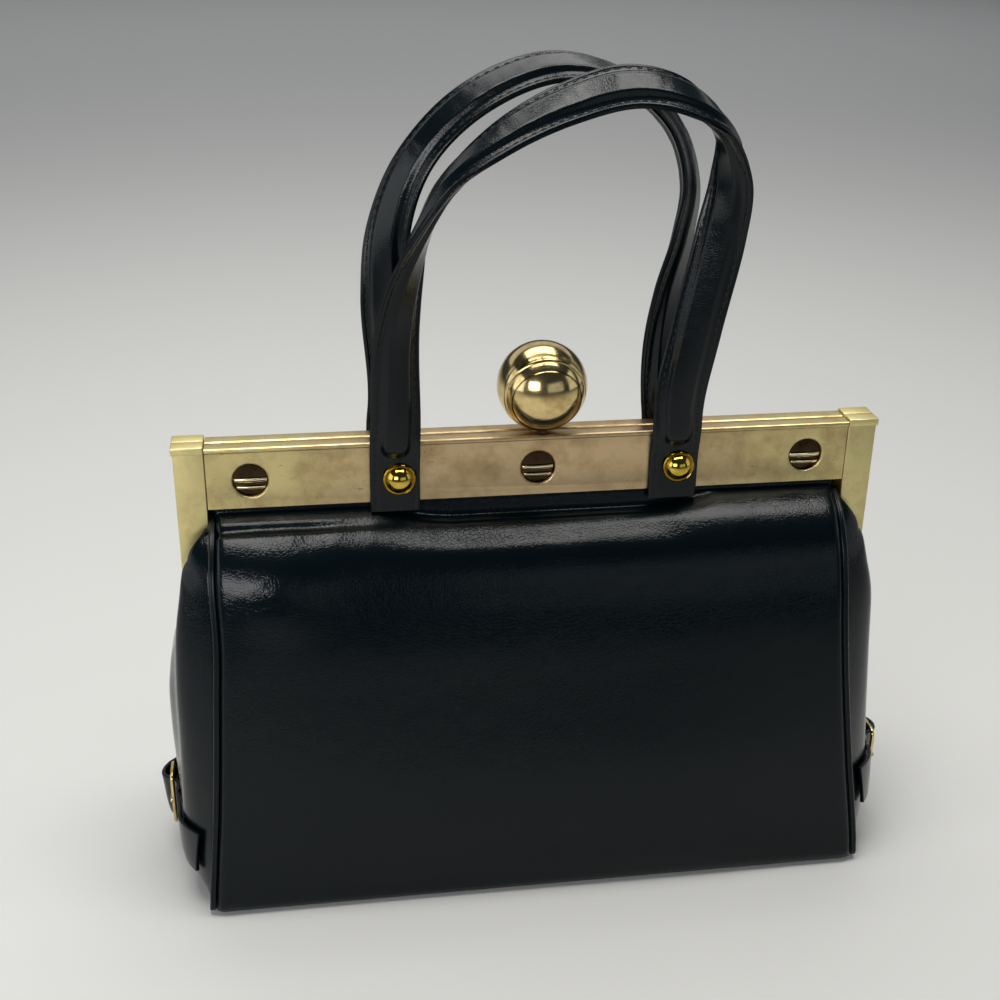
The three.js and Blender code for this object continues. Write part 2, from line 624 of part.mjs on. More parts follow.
// Handle: a padded strap swept along its centre line, turning to follow its edge
function handle(rows, face) {
  const half = STRAP_WIDTH / 2;
  const centres = rows.map(({ centre }) => new THREE.Vector3(...centre));
  const edges = rows.map(({ edge }, i) => new THREE.Vector3(...edge).setLength(half).add(centres[i]));
  const [centreLine, edgeLine] = [centres, edges].map((points) => new THREE.CatmullRomCurve3(points));
  const loops = Array.from({ length: STRAP_STEPS + 1 }, (unused, step) => {
    const along = step / STRAP_STEPS;
    const centre = centreLine.getPoint(along);
    const tangent = centreLine.getTangent(along);
    const edge = edgeLine.getPoint(along).sub(centre).projectOnPlane(tangent).setLength(half);
    const normal = tangent.clone().cross(edge).normalize();
    const place = along * (rows.length - 1);
    const row = Math.min(Math.floor(place), rows.length - 2);
    const pad = THREE.MathUtils.lerp(rows[row].pad, rows[row + 1].pad, place - row) * STRAP_PADDING;
    const point = (side) => ({ across, padded }) => centre.clone()
      .addScaledVector(edge, across)
      .addScaledVector(normal, side * (STRAP_FLANGE / 2 + pad * padded));
    return [...STRAP_SECTION.map(point(1)), ...[...STRAP_SECTION].reverse().map(point(-1))];
  });
  return cut(sweptLoops(loops), ...rivetHoles(face));
}

// A closed solid through a row of closed loops with the same number of points, capped flat at both ends.
function sweptLoops(loops) {
  const sides = loops[0].length;
  const index = [];
  for (let r = 0; r + 1 < loops.length; r += 1) {
    for (let c = 0; c < sides; c += 1) {
      const [a, b] = [r * sides + c, r * sides + (c + 1) % sides];
      index.push(a, b, b + sides, a, b + sides, a + sides);
    }
  }
  const last = (loops.length - 1) * sides;
  for (let c = 1; c + 1 < sides; c += 1) {
    index.push(0, c + 1, c);
    index.push(last, last + c, last + c + 1);
  }
  return closed(new THREE.BufferGeometry().setFromPoints(loops.flat()).setIndex(index));
}

// Rows of the tab from the front seam to the buckle, and of the strap from the back seam over its fold.
function tabRows({ back }) {
  return Array.from({ length: TAB_STEPS + 1 }, (unused, step) => (
    { y: THREE.MathUtils.lerp(TAB_START, TAB_END + back, step / TAB_STEPS), lift: BELT_LIFT }
  ));
}

function strapRows({ back }) {
  const fold = STRAP_LIFTS.map(({ y, lift }) => ({ y: y + back, lift }));
  const count = Math.ceil((STRAP_START - fold[0].y) / STRAP_STRIDE);
  const flat = Array.from({ length: count }, (unused, step) => (
    { y: THREE.MathUtils.lerp(STRAP_START, fold[0].y, step / count), lift: BELT_LIFT }
  ));
  return [...flat, ...fold];
}

// A belt piece that follows the gusset. Columns of each row: depth, and lift off the gusset.
function beltPiece({ side, height }, rows) {
  const base = rows.map(({ y }) => (
    BELT_STRIPS.map((strip) => gussetPoint(side, y, height + strip * BELT_WIDTH / 2))
  ));
  const turn = Math.sign(gridNormals(base)[0][0].x) * side;
  const inner = offsetGrid(base, rows.map(({ lift }) => turn * lift));
  const outer = offsetGrid(base, rows.map(({ lift }) => turn * (lift + BELT_THICK)));
  return wallBetween(outer, inner);
}

function roundedRectangle(path, width, height, corner) {
  const [w, h] = [width / 2, height / 2];
  path.absarc(w - corner, h - corner, corner, 0, Math.PI / 2);
  path.absarc(-w + corner, h - corner, corner, Math.PI / 2, Math.PI);
  path.absarc(-w + corner, -h + corner, corner, Math.PI, 1.5 * Math.PI);
  path.absarc(w - corner, -h + corner, corner, 1.5 * Math.PI, 2 * Math.PI);
  path.closePath();
  return path;
}

// Buckle: a wire ring standing off the gusset, with a prong from its back bar to its front bar
function buckle({ side, buckleHeight, back }) {
  const ring = roundedRectangle(new THREE.Shape(), BUCKLE_WIDTH, BUCKLE_HEIGHT, BUCKLE_CORNER);
  const [width, tall] = [BUCKLE_WIDTH, BUCKLE_HEIGHT].map((size) => size - 2 * BUCKLE_WIRE);
  ring.holes.push(roundedRectangle(new THREE.Path(), width, tall, BUCKLE_CORNER - BUCKLE_WIRE / 2));
  const wire = extruded(ring, BUCKLE_WIRE, ARC_STEPS.wire);
  const middle = BUCKLE_BACK + back;
  const seat = side * (gussetReach(middle, buckleHeight) + BUCKLE_LIFT);
  wire.applyMatrix4(axesOf([0, 1, 0], [0, 0, 1], [side, 0, 0])).translate(seat, middle, buckleHeight);
  const front = middle - BUCKLE_WIDTH / 2;
  const prong = boxBetween(
    [seat + side * PRONG.sink, front, buckleHeight - PRONG.halfWidth],
    [seat + side * PRONG.rise, front + PRONG.length, buckleHeight + PRONG.halfWidth],
  );
  return join(wire, prong);
}

const FACES = { front: -1, back: 1 };
const SIDES = { left: -1, right: 1 };
const HANDLES = { front: HANDLE_FRONT, back: HANDLE_BACK };

addPiece('body_panel', bodyPanel(), blackLeather);
for (const [sideName, side] of Object.entries(SIDES)) {
  addPiece(`gusset_${sideName}`, gusset(side), blackLeather);
  addPiece(`piping_${sideName}`, piping(side), blackPiping);
  const belt = BELTS[sideName];
  addPiece(`belt_tab_${sideName}`, beltPiece(belt, tabRows(belt)), blackLeather);
  addPiece(`belt_strap_${sideName}`, beltPiece(belt, strapRows(belt)), blackLeather);
  addPiece(`buckle_${sideName}`, buckle(belt), polishedGilt);
  addPiece(`hinge_pin_${sideName}`, hingePin(side), gilt);
}
for (const [faceName, face] of Object.entries(FACES)) {
  addPiece(`frame_${faceName}_bar`, frameBar(face), gilt);
  addPiece(`handle_${faceName}`, handle(HANDLES[faceName], face), blackLeather);
  for (const [sideName, side] of Object.entries(SIDES)) {
    addPiece(`frame_${faceName}_leg_${sideName}`, frameLeg(face, side), gilt);
    const rivet = handleRivet(face, RIVET_PLACES[sideName]);
    addPiece(`handle_rivet_${faceName}_${sideName}`, rivet, polishedGilt);
  }
  for (const [place, x] of Object.entries(SCREW_PLACES)) {
    addPiece(`frame_screw_${faceName}_${place}`, frameScrew(face, x), polishedGilt);
  }
}
addPiece('clasp_ball_back', claspBack(), polishedGilt);
addPiece('clasp_ball_front', claspFront(), polishedGilt);

export default bag;
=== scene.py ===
"""Dresses the frame handbag: glazed leather cloth on a worn gilt frame, with a ball clasp and padded handles.

Sizes in the classes are millimetres in the frame of the solids, and become metres when a piece is placed.
"""
import bisect
import logging
import math
from dataclasses import dataclass
from enum import Enum
from typing import Any, Callable, NamedTuple, Sequence

import bmesh
import bpy
from mathutils import Matrix, Vector, noise


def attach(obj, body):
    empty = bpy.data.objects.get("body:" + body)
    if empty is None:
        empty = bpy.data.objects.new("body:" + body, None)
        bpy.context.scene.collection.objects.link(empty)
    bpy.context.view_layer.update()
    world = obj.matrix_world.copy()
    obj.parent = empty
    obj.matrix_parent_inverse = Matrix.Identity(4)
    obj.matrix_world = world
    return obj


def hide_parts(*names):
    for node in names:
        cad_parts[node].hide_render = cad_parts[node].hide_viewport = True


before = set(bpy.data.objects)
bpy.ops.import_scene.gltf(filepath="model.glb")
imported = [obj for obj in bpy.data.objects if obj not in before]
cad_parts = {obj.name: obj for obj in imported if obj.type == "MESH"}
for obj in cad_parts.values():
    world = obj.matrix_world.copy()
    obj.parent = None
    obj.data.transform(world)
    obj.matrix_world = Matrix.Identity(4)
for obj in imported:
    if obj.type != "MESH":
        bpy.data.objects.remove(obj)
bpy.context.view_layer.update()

MM = 0.001
BODY = "root"
FRAME_TOP = 177.0
BAR_FACE = 5.9
SCREW_PLACES = (-105.8, 1.0, 105.8)
SCREW_HEIGHT = 163.8
LOG = logging.getLogger("handbag")

Mesh = bmesh.types.BMesh
Piece = bpy.types.Object
Tree = bpy.types.NodeTree


class Face(Enum):
    """The bag's two faces, by the sign of Y that each looks along."""

    FRONT = -1
    BACK = 1


class Side(Enum):
    """The bag's two ends, by the sign of X that each looks along."""

    LEFT = -1
    RIGHT = 1


class Slot(Enum):
    """The record's material slots."""

    LEATHER = "black_leather"
    PIPING = "piping"
    PLATE = "gilt_plate"
    POLISHED = "polished_gilt"


# Helpers for curves and meshes


def clamp(value: float, low: float = 0.0, high: float = 1.0) -> float:
    """Keeps a value between two limits."""
    return max(low, min(high, value))


def lerp(start: float, end: float, share: float) -> float:
    """Value at a share of the way from start to end."""
    return start + (end - start) * share


def smooth(low: float, high: float, value: float) -> float:
    """An easy step from 0 at low to 1 at high."""
    share = clamp((value - low) / (high - low))
    return share * share * (3.0 - 2.0 * share)


def bell(value: float, centre: float, spread: float) -> float:
    """A soft bump of height 1 about a centre."""
    return math.exp(-(((value - centre) / spread) ** 2))


class Spline:
    """A smooth line through rows of numbers, read by length along it or by knots of its own."""

    def __init__(self, rows: Sequence[Sequence[float]], knots: Sequence[float] | None = None) -> None:
        """Keeps the rows and works out their slopes.

        Args:
            rows: Points of any size, in order.
            knots: A rising value for each row. Without it, the length along the rows is used.
        """
        self.rows = [Vector(row) for row in rows]
        self.knots = list(knots or [0.0])
        if knots is None:
            for before, after in zip(self.rows, self.rows[1:]):
                self.knots.append(self.knots[-1] + (after - before).length)
        self.slopes = [self._slope(i) for i in range(len(self.rows))]

    def _step(self, i: int) -> tuple[Vector, float]:
        """Slope and width of the interval that starts at row i."""
        width = self.knots[i + 1] - self.knots[i]
        return (self.rows[i + 1] - self.rows[i]) / width, width

    def _slope(self, i: int) -> Vector:
        """Slope at row i, from the intervals on both sides of it."""
        if i == 0:
            return self._step(0)[0]
        if i == len(self.rows) - 1:
            return self._step(i - 1)[0]
        (before, low), (after, high) = self._step(i - 1), self._step(i)
        return (before * high + after * low) / (low + high)

    def at(self, knot: float) -> Vector:
        """The point at a knot, held at the ends."""
        knot = clamp(knot, self.knots[0], self.knots[-1])
        i = min(max(bisect.bisect_right(self.knots, knot) - 1, 0), len(self.rows) - 2)
        width = self.knots[i + 1] - self.knots[i]
        t = (knot - self.knots[i]) / width
        rise = t * t * (3.0 - 2.0 * t)
        start, end = self.slopes[i] * width, self.slopes[i + 1] * width
        bend = start * (t * (1.0 - t) ** 2) - end * (t * t * (1.0 - t))
        return self.rows[i].lerp(self.rows[i + 1], rise) + bend


def lofted(columns: int, rows: int, place: Callable[[float, float], Vector]) -> Mesh:
    """A sheet of even squares moved onto a surface.

    Args:
        columns: Squares across.
        rows: Squares along.
        place: Gives the point for a place across and along, each from -1 to 1.

    Returns:
        The sheet, with the place of each vertex kept in the layers "across" and "along".
    """
    bm = bmesh.new()
    bmesh.ops.create_grid(bm, x_segments=columns, y_segments=rows, size=1.0)
    across = bm.verts.layers.float.new("across")
    along = bm.verts.layers.float.new("along")
    for vert in bm.verts:
        vert[across], vert[along] = vert.co.x, vert.co.y
        vert.co = place(vert.co.x, vert.co.y)
    return bm


def closed_tube(bm: Mesh) -> Mesh:
    """Joins the long edges of a rolled sheet, caps its ends and turns its faces out."""
    bmesh.ops.remove_doubles(bm, verts=bm.verts[:], dist=1e-3)
    bmesh.ops.holes_fill(bm, edges=[edge for edge in bm.edges if edge.is_boundary])
    bmesh.ops.recalc_face_normals(bm, faces=bm.faces[:])
    return bm


def facing_out(bm: Mesh, core: Vector) -> Mesh:
    """Turns the faces of an open sheet away from a point."""
    bm.normal_update()
    lean = sum(face.normal.dot(face.calc_center_median() - core) for face in bm.faces)
    if lean < 0:
        bmesh.ops.reverse_faces(bm, faces=bm.faces[:])
    return bm


def turned(rows: Sequence[tuple[float, float]], place: Matrix, steps: int) -> Mesh:
    """A turned shape about Z, moved into place.

    Args:
        rows: Radius and height of each point of the profile.
        place: Where the shape goes.
        steps: Facets in the full turn.

    Returns:
        The closed shape.
    """
    bm = bmesh.new()
    verts = [bm.verts.new((radius, 0.0, height)) for radius, height in rows]
    edges = [bm.edges.new(pair) for pair in zip(verts, verts[1:])]
    bmesh.ops.spin(
        bm, geom=verts + edges, cent=(0, 0, 0), axis=(0, 0, 1), angle=math.tau, steps=steps, use_merge=True
    )
    bmesh.ops.remove_doubles(bm, verts=bm.verts[:], dist=1e-4)
    bmesh.ops.transform(bm, matrix=place, verts=bm.verts[:])
    bmesh.ops.recalc_face_normals(bm, faces=bm.faces[:])
    return bm


def block(low: Sequence[float], high: Sequence[float], rounding: float, segments: int = 3) -> Mesh:
    """A box between two corners, in any order along each axis, with its edges rounded."""
    bm = bmesh.new()
    bmesh.ops.create_cube(bm, size=1.0)
    size = [abs(b - a) for a, b in zip(low, high)]
    middle = [(a + b) / 2 for a, b in zip(low, high)]
    bmesh.ops.scale(bm, vec=size, verts=bm.verts[:])
    bmesh.ops.translate(bm, vec=middle, verts=bm.verts[:])
    round_edges(bm, bm.edges[:], rounding, segments)
    return bm


def round_edges(bm: Mesh, edges: list[bmesh.types.BMEdge], offset: float, segments: int) -> None:
    """Rounds some edges of a mesh."""
    bmesh.ops.bevel(
        bm, geom=edges, offset=offset, offset_type="OFFSET", affect="EDGES", segments=segments,
        profile=0.5, material=-1, clamp_overlap=True,
    )


def sharp_edges(bm: Mesh, angle: float) -> list[bmesh.types.BMEdge]:
    """Edges between faces that meet at more than an angle, in degrees."""
    limit = math.radians(angle)
    return [edge for edge in bm.edges if edge.is_manifold and edge.calc_face_angle() > limit]


def extruded(section: Sequence[tuple[float, float]], place: Matrix, depth: float) -> Mesh:
    """A flat section in X and Y drawn out along Z, moved into place."""
    bm = bmesh.new()
    face = bm.faces.new([bm.verts.new((x, y, 0.0)) for x, y in section])
    drawn = bmesh.ops.extrude_face_region(bm, geom=[face])["geom"]
    far = [item for item in drawn if isinstance(item, bmesh.types.BMVert)]
    bmesh.ops.translate(bm, vec=(0.0, 0.0, depth), verts=far)
    bmesh.ops.holes_fill(bm, edges=[edge for edge in bm.edges if edge.is_boundary])
    bmesh.ops.transform(bm, matrix=place, verts=bm.verts[:])
    bmesh.ops.recalc_face_normals(bm, faces=bm.faces[:])
    return bm


def gathered(*meshes: Mesh) -> Mesh:
    """One mesh from several, which are used up."""
    whole = bmesh.new()
    for bm in meshes:
        part = bpy.data.meshes.new("part")
        bm.to_mesh(part)
        bm.free()
        whole.from_mesh(part)
        bpy.data.meshes.remove(part)
    return whole


def carved(bm: Mesh, tool: Mesh) -> Mesh:
    """Cuts one closed mesh from another, and uses both up."""
    stands = []
    for part in (bm, tool):
        mesh = bpy.data.meshes.new("part")
        part.to_mesh(mesh)
        part.free()
        stands.append(bpy.data.objects.new("part", mesh))
        bpy.context.scene.collection.objects.link(stands[-1])
    cut = stands[0].modifiers.new("cut", "BOOLEAN")
    cut.object = stands[1]
    cut.operation = "DIFFERENCE"
    cut.solver = "EXACT"
    result = bmesh.new()
    result.from_object(stands[0], bpy.context.evaluated_depsgraph_get())
    for stand in stands:
        mesh = stand.data
        bpy.data.objects.remove(stand)
        bpy.data.meshes.remove(mesh)
    return result


def axes(right: Sequence[float], up: Sequence[float], out: Sequence[float], at: Sequence[float]) -> Matrix:
    """The move that lays X, Y and Z along three directions from a point."""
    turn = Matrix((right, up, out)).transposed().to_4x4()
    return Matrix.Translation(at) @ turn


# Helpers for materials


def hex_colour(code: str) -> tuple[float, float, float, float]:
    """An sRGB hex colour as linear numbers."""
    channels = [int(code[i:i + 2], 16) / 255 for i in (1, 3, 5)]
    linear = [c / 12.92 if c <= 0.04045 else ((c + 0.055) / 1.055) ** 2.4 for c in channels]
    return (linear[0], linear[1], linear[2], 1.0)


def per_metre(size_mm: float) -> float:
    """Scale of a pattern whose cells are a size in millimetres."""
    return 1.0 / (size_mm * MM)


def add_node(tree: Tree, kind: str, inputs: dict[Any, Any], **settings: Any) -> bpy.types.Node:
    """Adds a node with its settings, values and links.

    Args:
        tree: The node tree.
        kind: The node's type, without its common prefix.
        inputs: Values, or output sockets to link, by input name or number.
        **settings: The node's own properties.

    Returns:
        The new node.
    """
    node = tree.nodes.new("ShaderNode" + kind)
    for name, value in settings.items():
        setattr(node, name, value)
    for name, value in inputs.items():
        if isinstance(value, bpy.types.NodeSocket):
            tree.links.new(value, node.inputs[name])
        else:
            node.inputs[name].default_value = value
    return node


@dataclass(frozen=True)
class Finish:
    """A surface finish that makes one material, the first time it is asked for."""

    title: str

    def material(self) -> bpy.types.Material:
        """The finish's material."""
        known = bpy.data.materials.get(self.title)
        if known:
            return known
        made = bpy.data.materials.new(self.title)
        made.use_nodes = True
        self.paint(made.node_tree, made.node_tree.nodes["Principled BSDF"].inputs)
        return made

    def paint(self, tree: Tree, shader: Any) -> None:
        """Builds the finish's nodes.

        Args:
            tree: The material's node tree.
            shader: The inputs of its Principled shader.
        """
        raise NotImplementedError


@dataclass(frozen=True)
class GlazedLeatherCloth(Finish):
    """Cotton cloth coated with black vinyl and glazed: blue-black and wet-looking, with fine creases."""

    colour: str = "#01070a"
    haze: str = "#c4dcf0"
    haze_level: float = 0.05
    haze_roughness: float = 0.45
    index: float = 1.27
    roughness: float = 0.13
    grain_mm: float = 1.3
    grain_depth: float = 0.2
    bend_mm: float = 3.0
    ripple_mm: float = 14.0
    ripple_depth: float = 0.08

    def paint(self, tree: Tree, shader: Any) -> None:
        """A crackle of creases on slow ripples, under an uneven glaze with a blue haze below it."""
        place = add_node(tree, "TexCoord", {}).outputs["Object"]
        bent = add_node(tree, "TexNoise", {"Vector": place, "Scale": per_metre(6.0), "Detail": 2.0})
        shifted = add_node(
            tree, "VectorMath", {0: bent.outputs["Color"], 1: (self.bend_mm * MM,) * 3, 2: place},
            operation="MULTIPLY_ADD",
        )
        cells = add_node(
            tree, "TexVoronoi", {"Vector": shifted.outputs[0], "Scale": per_metre(self.grain_mm)},
            feature="DISTANCE_TO_EDGE",
        )
        crease = add_node(tree, "MapRange", {"Value": cells.outputs["Distance"], "From Max": 0.18})
        slow = add_node(
            tree, "TexNoise", {"Vector": place, "Scale": per_metre(self.ripple_mm), "Detail": 2.0}
        )
        ripple = add_node(
            tree, "Bump", {"Height": slow.outputs["Fac"], "Strength": self.ripple_depth, "Distance": 2.0 * MM}
        )
        grain = add_node(
            tree, "Bump",
            {
                "Height": crease.outputs[0], "Strength": self.grain_depth, "Distance": 0.1 * MM,
                "Normal": ripple.outputs[0],
            },
        )
        patches = add_node(tree, "TexNoise", {"Vector": place, "Scale": per_metre(28.0), "Detail": 4.0})
        glaze = add_node(
            tree, "MapRange",
            {
                "Value": patches.outputs["Fac"], "From Min": 0.3, "From Max": 0.7,
                "To Min": self.roughness * 0.8, "To Max": self.roughness * 1.25,
            },
        )
        tree.links.new(glaze.outputs[0], shader["Coat Roughness"])
        for socket in ("Normal", "Coat Normal"):
            tree.links.new(grain.outputs[0], shader[socket])
        shader["Base Color"].default_value = hex_colour(self.colour)
        shader["Roughness"].default_value = self.haze_roughness
        shader["Specular Tint"].default_value = hex_colour(self.haze)
        shader["Specular IOR Level"].default_value = self.haze_level
        shader["Coat Weight"].default_value = 1.0
        shader["Coat IOR"].default_value = self.index


@dataclass(frozen=True)
class WornGiltPlate(Finish):
    """Gilt-lacquered steel sheet, worn by handling: pale cloudy gold with dark pits and fine scratches."""

    ends: str = "#cebf87"
    middle: str = "#c2aa83"
    tarnish: str = "#9c835c"
    pits: str = "#3d3120"
    roughness: float = 0.34
    cloud_mm: float = 14.0
    middle_mm: float = 45.0
    ends_mm: float = 115.0

    def paint(self, tree: Tree, shader: Any) -> None:
        """A tint from the middle to the ends, clouds of tarnish, and marks where hands have rubbed."""
        place = add_node(tree, "TexCoord", {}).outputs["Object"]
        x = add_node(tree, "SeparateXYZ", {0: place}).outputs["X"]
        far = add_node(tree, "Math", {0: x}, operation="ABSOLUTE")
        cloud = add_node(
            tree, "TexNoise",
            {"Vector": place, "Scale": per_metre(self.cloud_mm), "Detail": 8.0, "Roughness": 0.68},
        )
        end = add_node(
            tree, "MapRange",
            {"Value": far.outputs[0], "From Min": self.middle_mm * MM, "From Max": self.ends_mm * MM},
            interpolation_type="SMOOTHSTEP",
        )
        tint = add_node(
            tree, "Mix",
            {"Factor": end.outputs[0], "A": hex_colour(self.middle), "B": hex_colour(self.ends)},
            data_type="RGBA",
        )
        shade = add_node(
            tree, "MapRange", {"Value": cloud.outputs["Fac"], "From Min": 0.44, "From Max": 0.76}
        )
        base = add_node(
            tree, "Mix",
            {"Factor": shade.outputs[0], "A": tint.outputs["Result"], "B": hex_colour(self.tarnish)},
            data_type="RGBA",
        )
        marks = self.marks(tree, place)
        colour = add_node(
            tree, "Mix",
            {"Factor": marks, "A": base.outputs["Result"], "B": hex_colour(self.pits)},
            data_type="RGBA",
        )
        dull = add_node(
            tree, "MapRange",
            {"Value": cloud.outputs["Fac"], "From Min": 0.3, "From Max": 0.7, "To Min": self.roughness - 0.05,
             "To Max": self.roughness + 0.1},
        )
        relief = add_node(
            tree, "Bump", {"Height": marks, "Strength": 0.2, "Distance": 0.04 * MM}, invert=True
        )
        shader["Metallic"].default_value = 1.0
        tree.links.new(colour.outputs["Result"], shader["Base Color"])
        tree.links.new(dull.outputs[0], shader["Roughness"])
        tree.links.new(relief.outputs[0], shader["Normal"])

    def marks(self, tree: Tree, place: bpy.types.NodeSocket) -> bpy.types.NodeSocket:
        """Pits and slanting scratches, thick in some places and missing in most.

        Args:
            tree: The material's node tree.
            place: Object coordinates.

        Returns:
            The socket with the strength of the marks.
        """
        field = add_node(tree, "TexNoise", {"Vector": place, "Scale": per_metre(16.0), "Detail": 2.0})
        speck = add_node(tree, "TexNoise", {"Vector": place, "Scale": per_metre(1.2), "Detail": 3.0})
        drawn = add_node(
            tree, "Mapping", {"Vector": place, "Rotation": (0.0, 0.6, 0.0), "Scale": (0.22, 1.0, 1.0)}
        )
        scratch = add_node(
            tree, "TexNoise", {"Vector": drawn.outputs[0], "Scale": per_metre(0.9), "Detail": 2.0}
        )
        strength = []
        for source, start in ((speck, 0.92), (scratch, 0.955)):
            mixed = add_node(
                tree, "Math", {0: field.outputs["Fac"], 1: 0.42, 2: source.outputs["Fac"]},
                operation="MULTIPLY_ADD",
            )
            strength.append(add_node(
                tree, "MapRange",
                {"Value": mixed.outputs[0], "From Min": start, "From Max": start + 0.1, "To Max": 0.7},
            ))
        return add_node(
            tree, "Math", {0: strength[0].outputs[0], 1: strength[1].outputs[0]}, operation="MAXIMUM"
        ).outputs[0]


@dataclass(frozen=True)
class PolishedGilt(Finish):
    """Polished gilt brass, turned and buffed: a mirror with warm gold in it, a little smudged by fingers."""

    colour: str = "#dcc68c"
    smudge: str = "#bda066"
    smudge_mm: float = 5.0
    roughness: float = 0.14

    def paint(self, tree: Tree, shader: Any) -> None:
        """A clean mirror with faint smudges in colour and shine."""
        place = add_node(tree, "TexCoord", {}).outputs["Object"]
        cloud = add_node(
            tree, "TexNoise",
            {"Vector": place, "Scale": per_metre(self.smudge_mm), "Detail": 5.0, "Roughness": 0.6},
        )
        share = add_node(
            tree, "MapRange", {"Value": cloud.outputs["Fac"], "From Min": 0.45, "From Max": 0.72}
        )
        colour = add_node(
            tree, "Mix",
            {"Factor": share.outputs[0], "A": hex_colour(self.colour), "B": hex_colour(self.smudge)},
            data_type="RGBA",
        )
        shine = add_node(
            tree, "MapRange",
            {"Value": cloud.outputs["Fac"], "From Min": 0.4, "From Max": 0.75, "To Min": self.roughness,
             "To Max": self.roughness + 0.1},
        )
        shader["Metallic"].default_value = 1.0
        tree.links.new(colour.outputs["Result"], shader["Base Color"])
        tree.links.new(shine.outputs[0], shader["Roughness"])


@dataclass(frozen=True)
class BondedThread(Finish):
    """Bonded black polyester thread: dull, with the twist of its strands."""

    colour: str = "#050607"
    twist_mm: float = 0.6
    roughness: float = 0.8

    def paint(self, tree: Tree, shader: Any) -> None:
        """Slanted strands, drawn about twice as coarse as real ones so that they show."""
        place = add_node(tree, "TexCoord", {}).outputs["Object"]
        strands = add_node(
            tree, "TexWave",
            {"Vector": place, "Scale": per_metre(self.twist_mm) / math.tau, "Distortion": 1.0},
            bands_direction="DIAGONAL",
        )
        relief = add_node(
            tree, "Bump", {"Height": strands.outputs["Fac"], "Strength": 0.4, "Distance": 0.1 * MM}
        )
        tree.links.new(relief.outputs[0], shader["Normal"])
        shader["Base Color"].default_value = hex_colour(self.colour)
        shader["Roughness"].default_value = self.roughness


@dataclass(frozen=True)
class StudioPaper(Finish):
    """Seamless matt paper in one pale grey."""

    colour: str = "#c3c3c1"
    roughness: float = 0.7

    def paint(self, tree: Tree, shader: Any) -> None:
        """One plain colour."""
        shader["Base Color"].default_value = hex_colour(self.colour)
        shader["Roughness"].default_value = self.roughness


# Wet black gloss over a fine crackle, broken by slow ripples
BODY_CLOTH = GlazedLeatherCloth("glazed_vinyl_leather_cloth")
# The same cloth pulled tight over padding, with a finer grain
STRAP_CLOTH = GlazedLeatherCloth(
    "glazed_vinyl_strap_cloth", haze_level=0.03, index=1.32, roughness=0.18, grain_mm=1.1, grain_depth=0.16,
    ripple_depth=0.04,
)
# A narrow folded strip of it, duller where it rubs
PIPING_CLOTH = GlazedLeatherCloth(
    "glazed_vinyl_piping", roughness=0.27, grain_mm=0.9, grain_depth=0.06, ripple_depth=0.02
)
# Pale cloudy gold with dark handling marks
PLATE = WornGiltPlate("gilt_lacquered_steel_worn")
# The same plate on the legs, painted paler and made rougher: a lit copy of the bar's plate that stands in for
# the brighter light on the legs
LIT_LEG_PLATE = WornGiltPlate(
    "gilt_lacquered_steel_legs", ends="#dccf94", middle="#dcc79b", tarnish="#bda975", roughness=0.44
)
# A warm mirror
POLISHED = PolishedGilt("polished_gilt_brass")
# A yellower mirror on the rivets
RIVET_GILT = PolishedGilt("polished_yellow_brass", colour="#cdb24c", smudge="#b09236", roughness=0.07)
# A pale mirror on the ribs of the screws: a lit copy of the gilt, painted near white as a painted highlight
# for their bright lines
LIT_RIB_GILT = PolishedGilt("polished_pale_gilt", colour="#f2e8c8", smudge="#d4c69e")
# Brown-black brass on the sunk screw heads down in the screw holes and on the clasp stem
DARK_BRASS = PolishedGilt("brown_black_brass", colour="#3e3022", smudge="#261b12", roughness=0.18)
# Dull black twist in the stitching
THREAD = BondedThread("bonded_polyester_thread")


# The bag's soft outline, shared by panel, piping, gussets and belts


class ProfileRow(NamedTuple):
    """A row of the front's profile."""

    height: float
    out: float
    half: float


class GussetRow(NamedTuple):
    """A row of the side wall: reach of the puff beside the leg, and of the middle."""

    height: float
    puff: float
    middle: float


PANEL_PROFILE = [
    ProfileRow(155.4, 4.0, 121.5),
    ProfileRow(152.6, 4.1, 121.3),
    ProfileRow(150.6, 4.6, 120.6),
    ProfileRow(149.9, 5.8, 120.0),
    ProfileRow(148.6, 8.6, 119.9),
    ProfileRow(147.0, 11.8, 119.8),
    ProfileRow(145.1, 15.0, 119.8),
    ProfileRow(142.6, 18.0, 119.8),
    ProfileRow(139.6, 20.8, 119.8),
    ProfileRow(136.4, 23.2, 119.8),
    ProfileRow(132.4, 25.4, 119.9),
    ProfileRow(122.0, 29.3, 119.9),
    ProfileRow(108.0, 33.2, 120.0),
    ProfileRow(88.0, 37.2, 121.1),
    ProfileRow(64.0, 41.4, 122.8),
    ProfileRow(41.0, 44.6, 124.9),
    ProfileRow(20.0, 46.9, 127.3),
    ProfileRow(9.0, 48.2, 128.4),
    ProfileRow(4.5, 48.6, 128.7),
    ProfileRow(2.0, 48.0, 128.9),
    ProfileRow(0.6, 46.4, 129.0),
    ProfileRow(0.0, 43.5, 129.0),
    ProfileRow(0.0, 20.0, 129.0),
    ProfileRow(0.0, 0.0, 129.0),
]

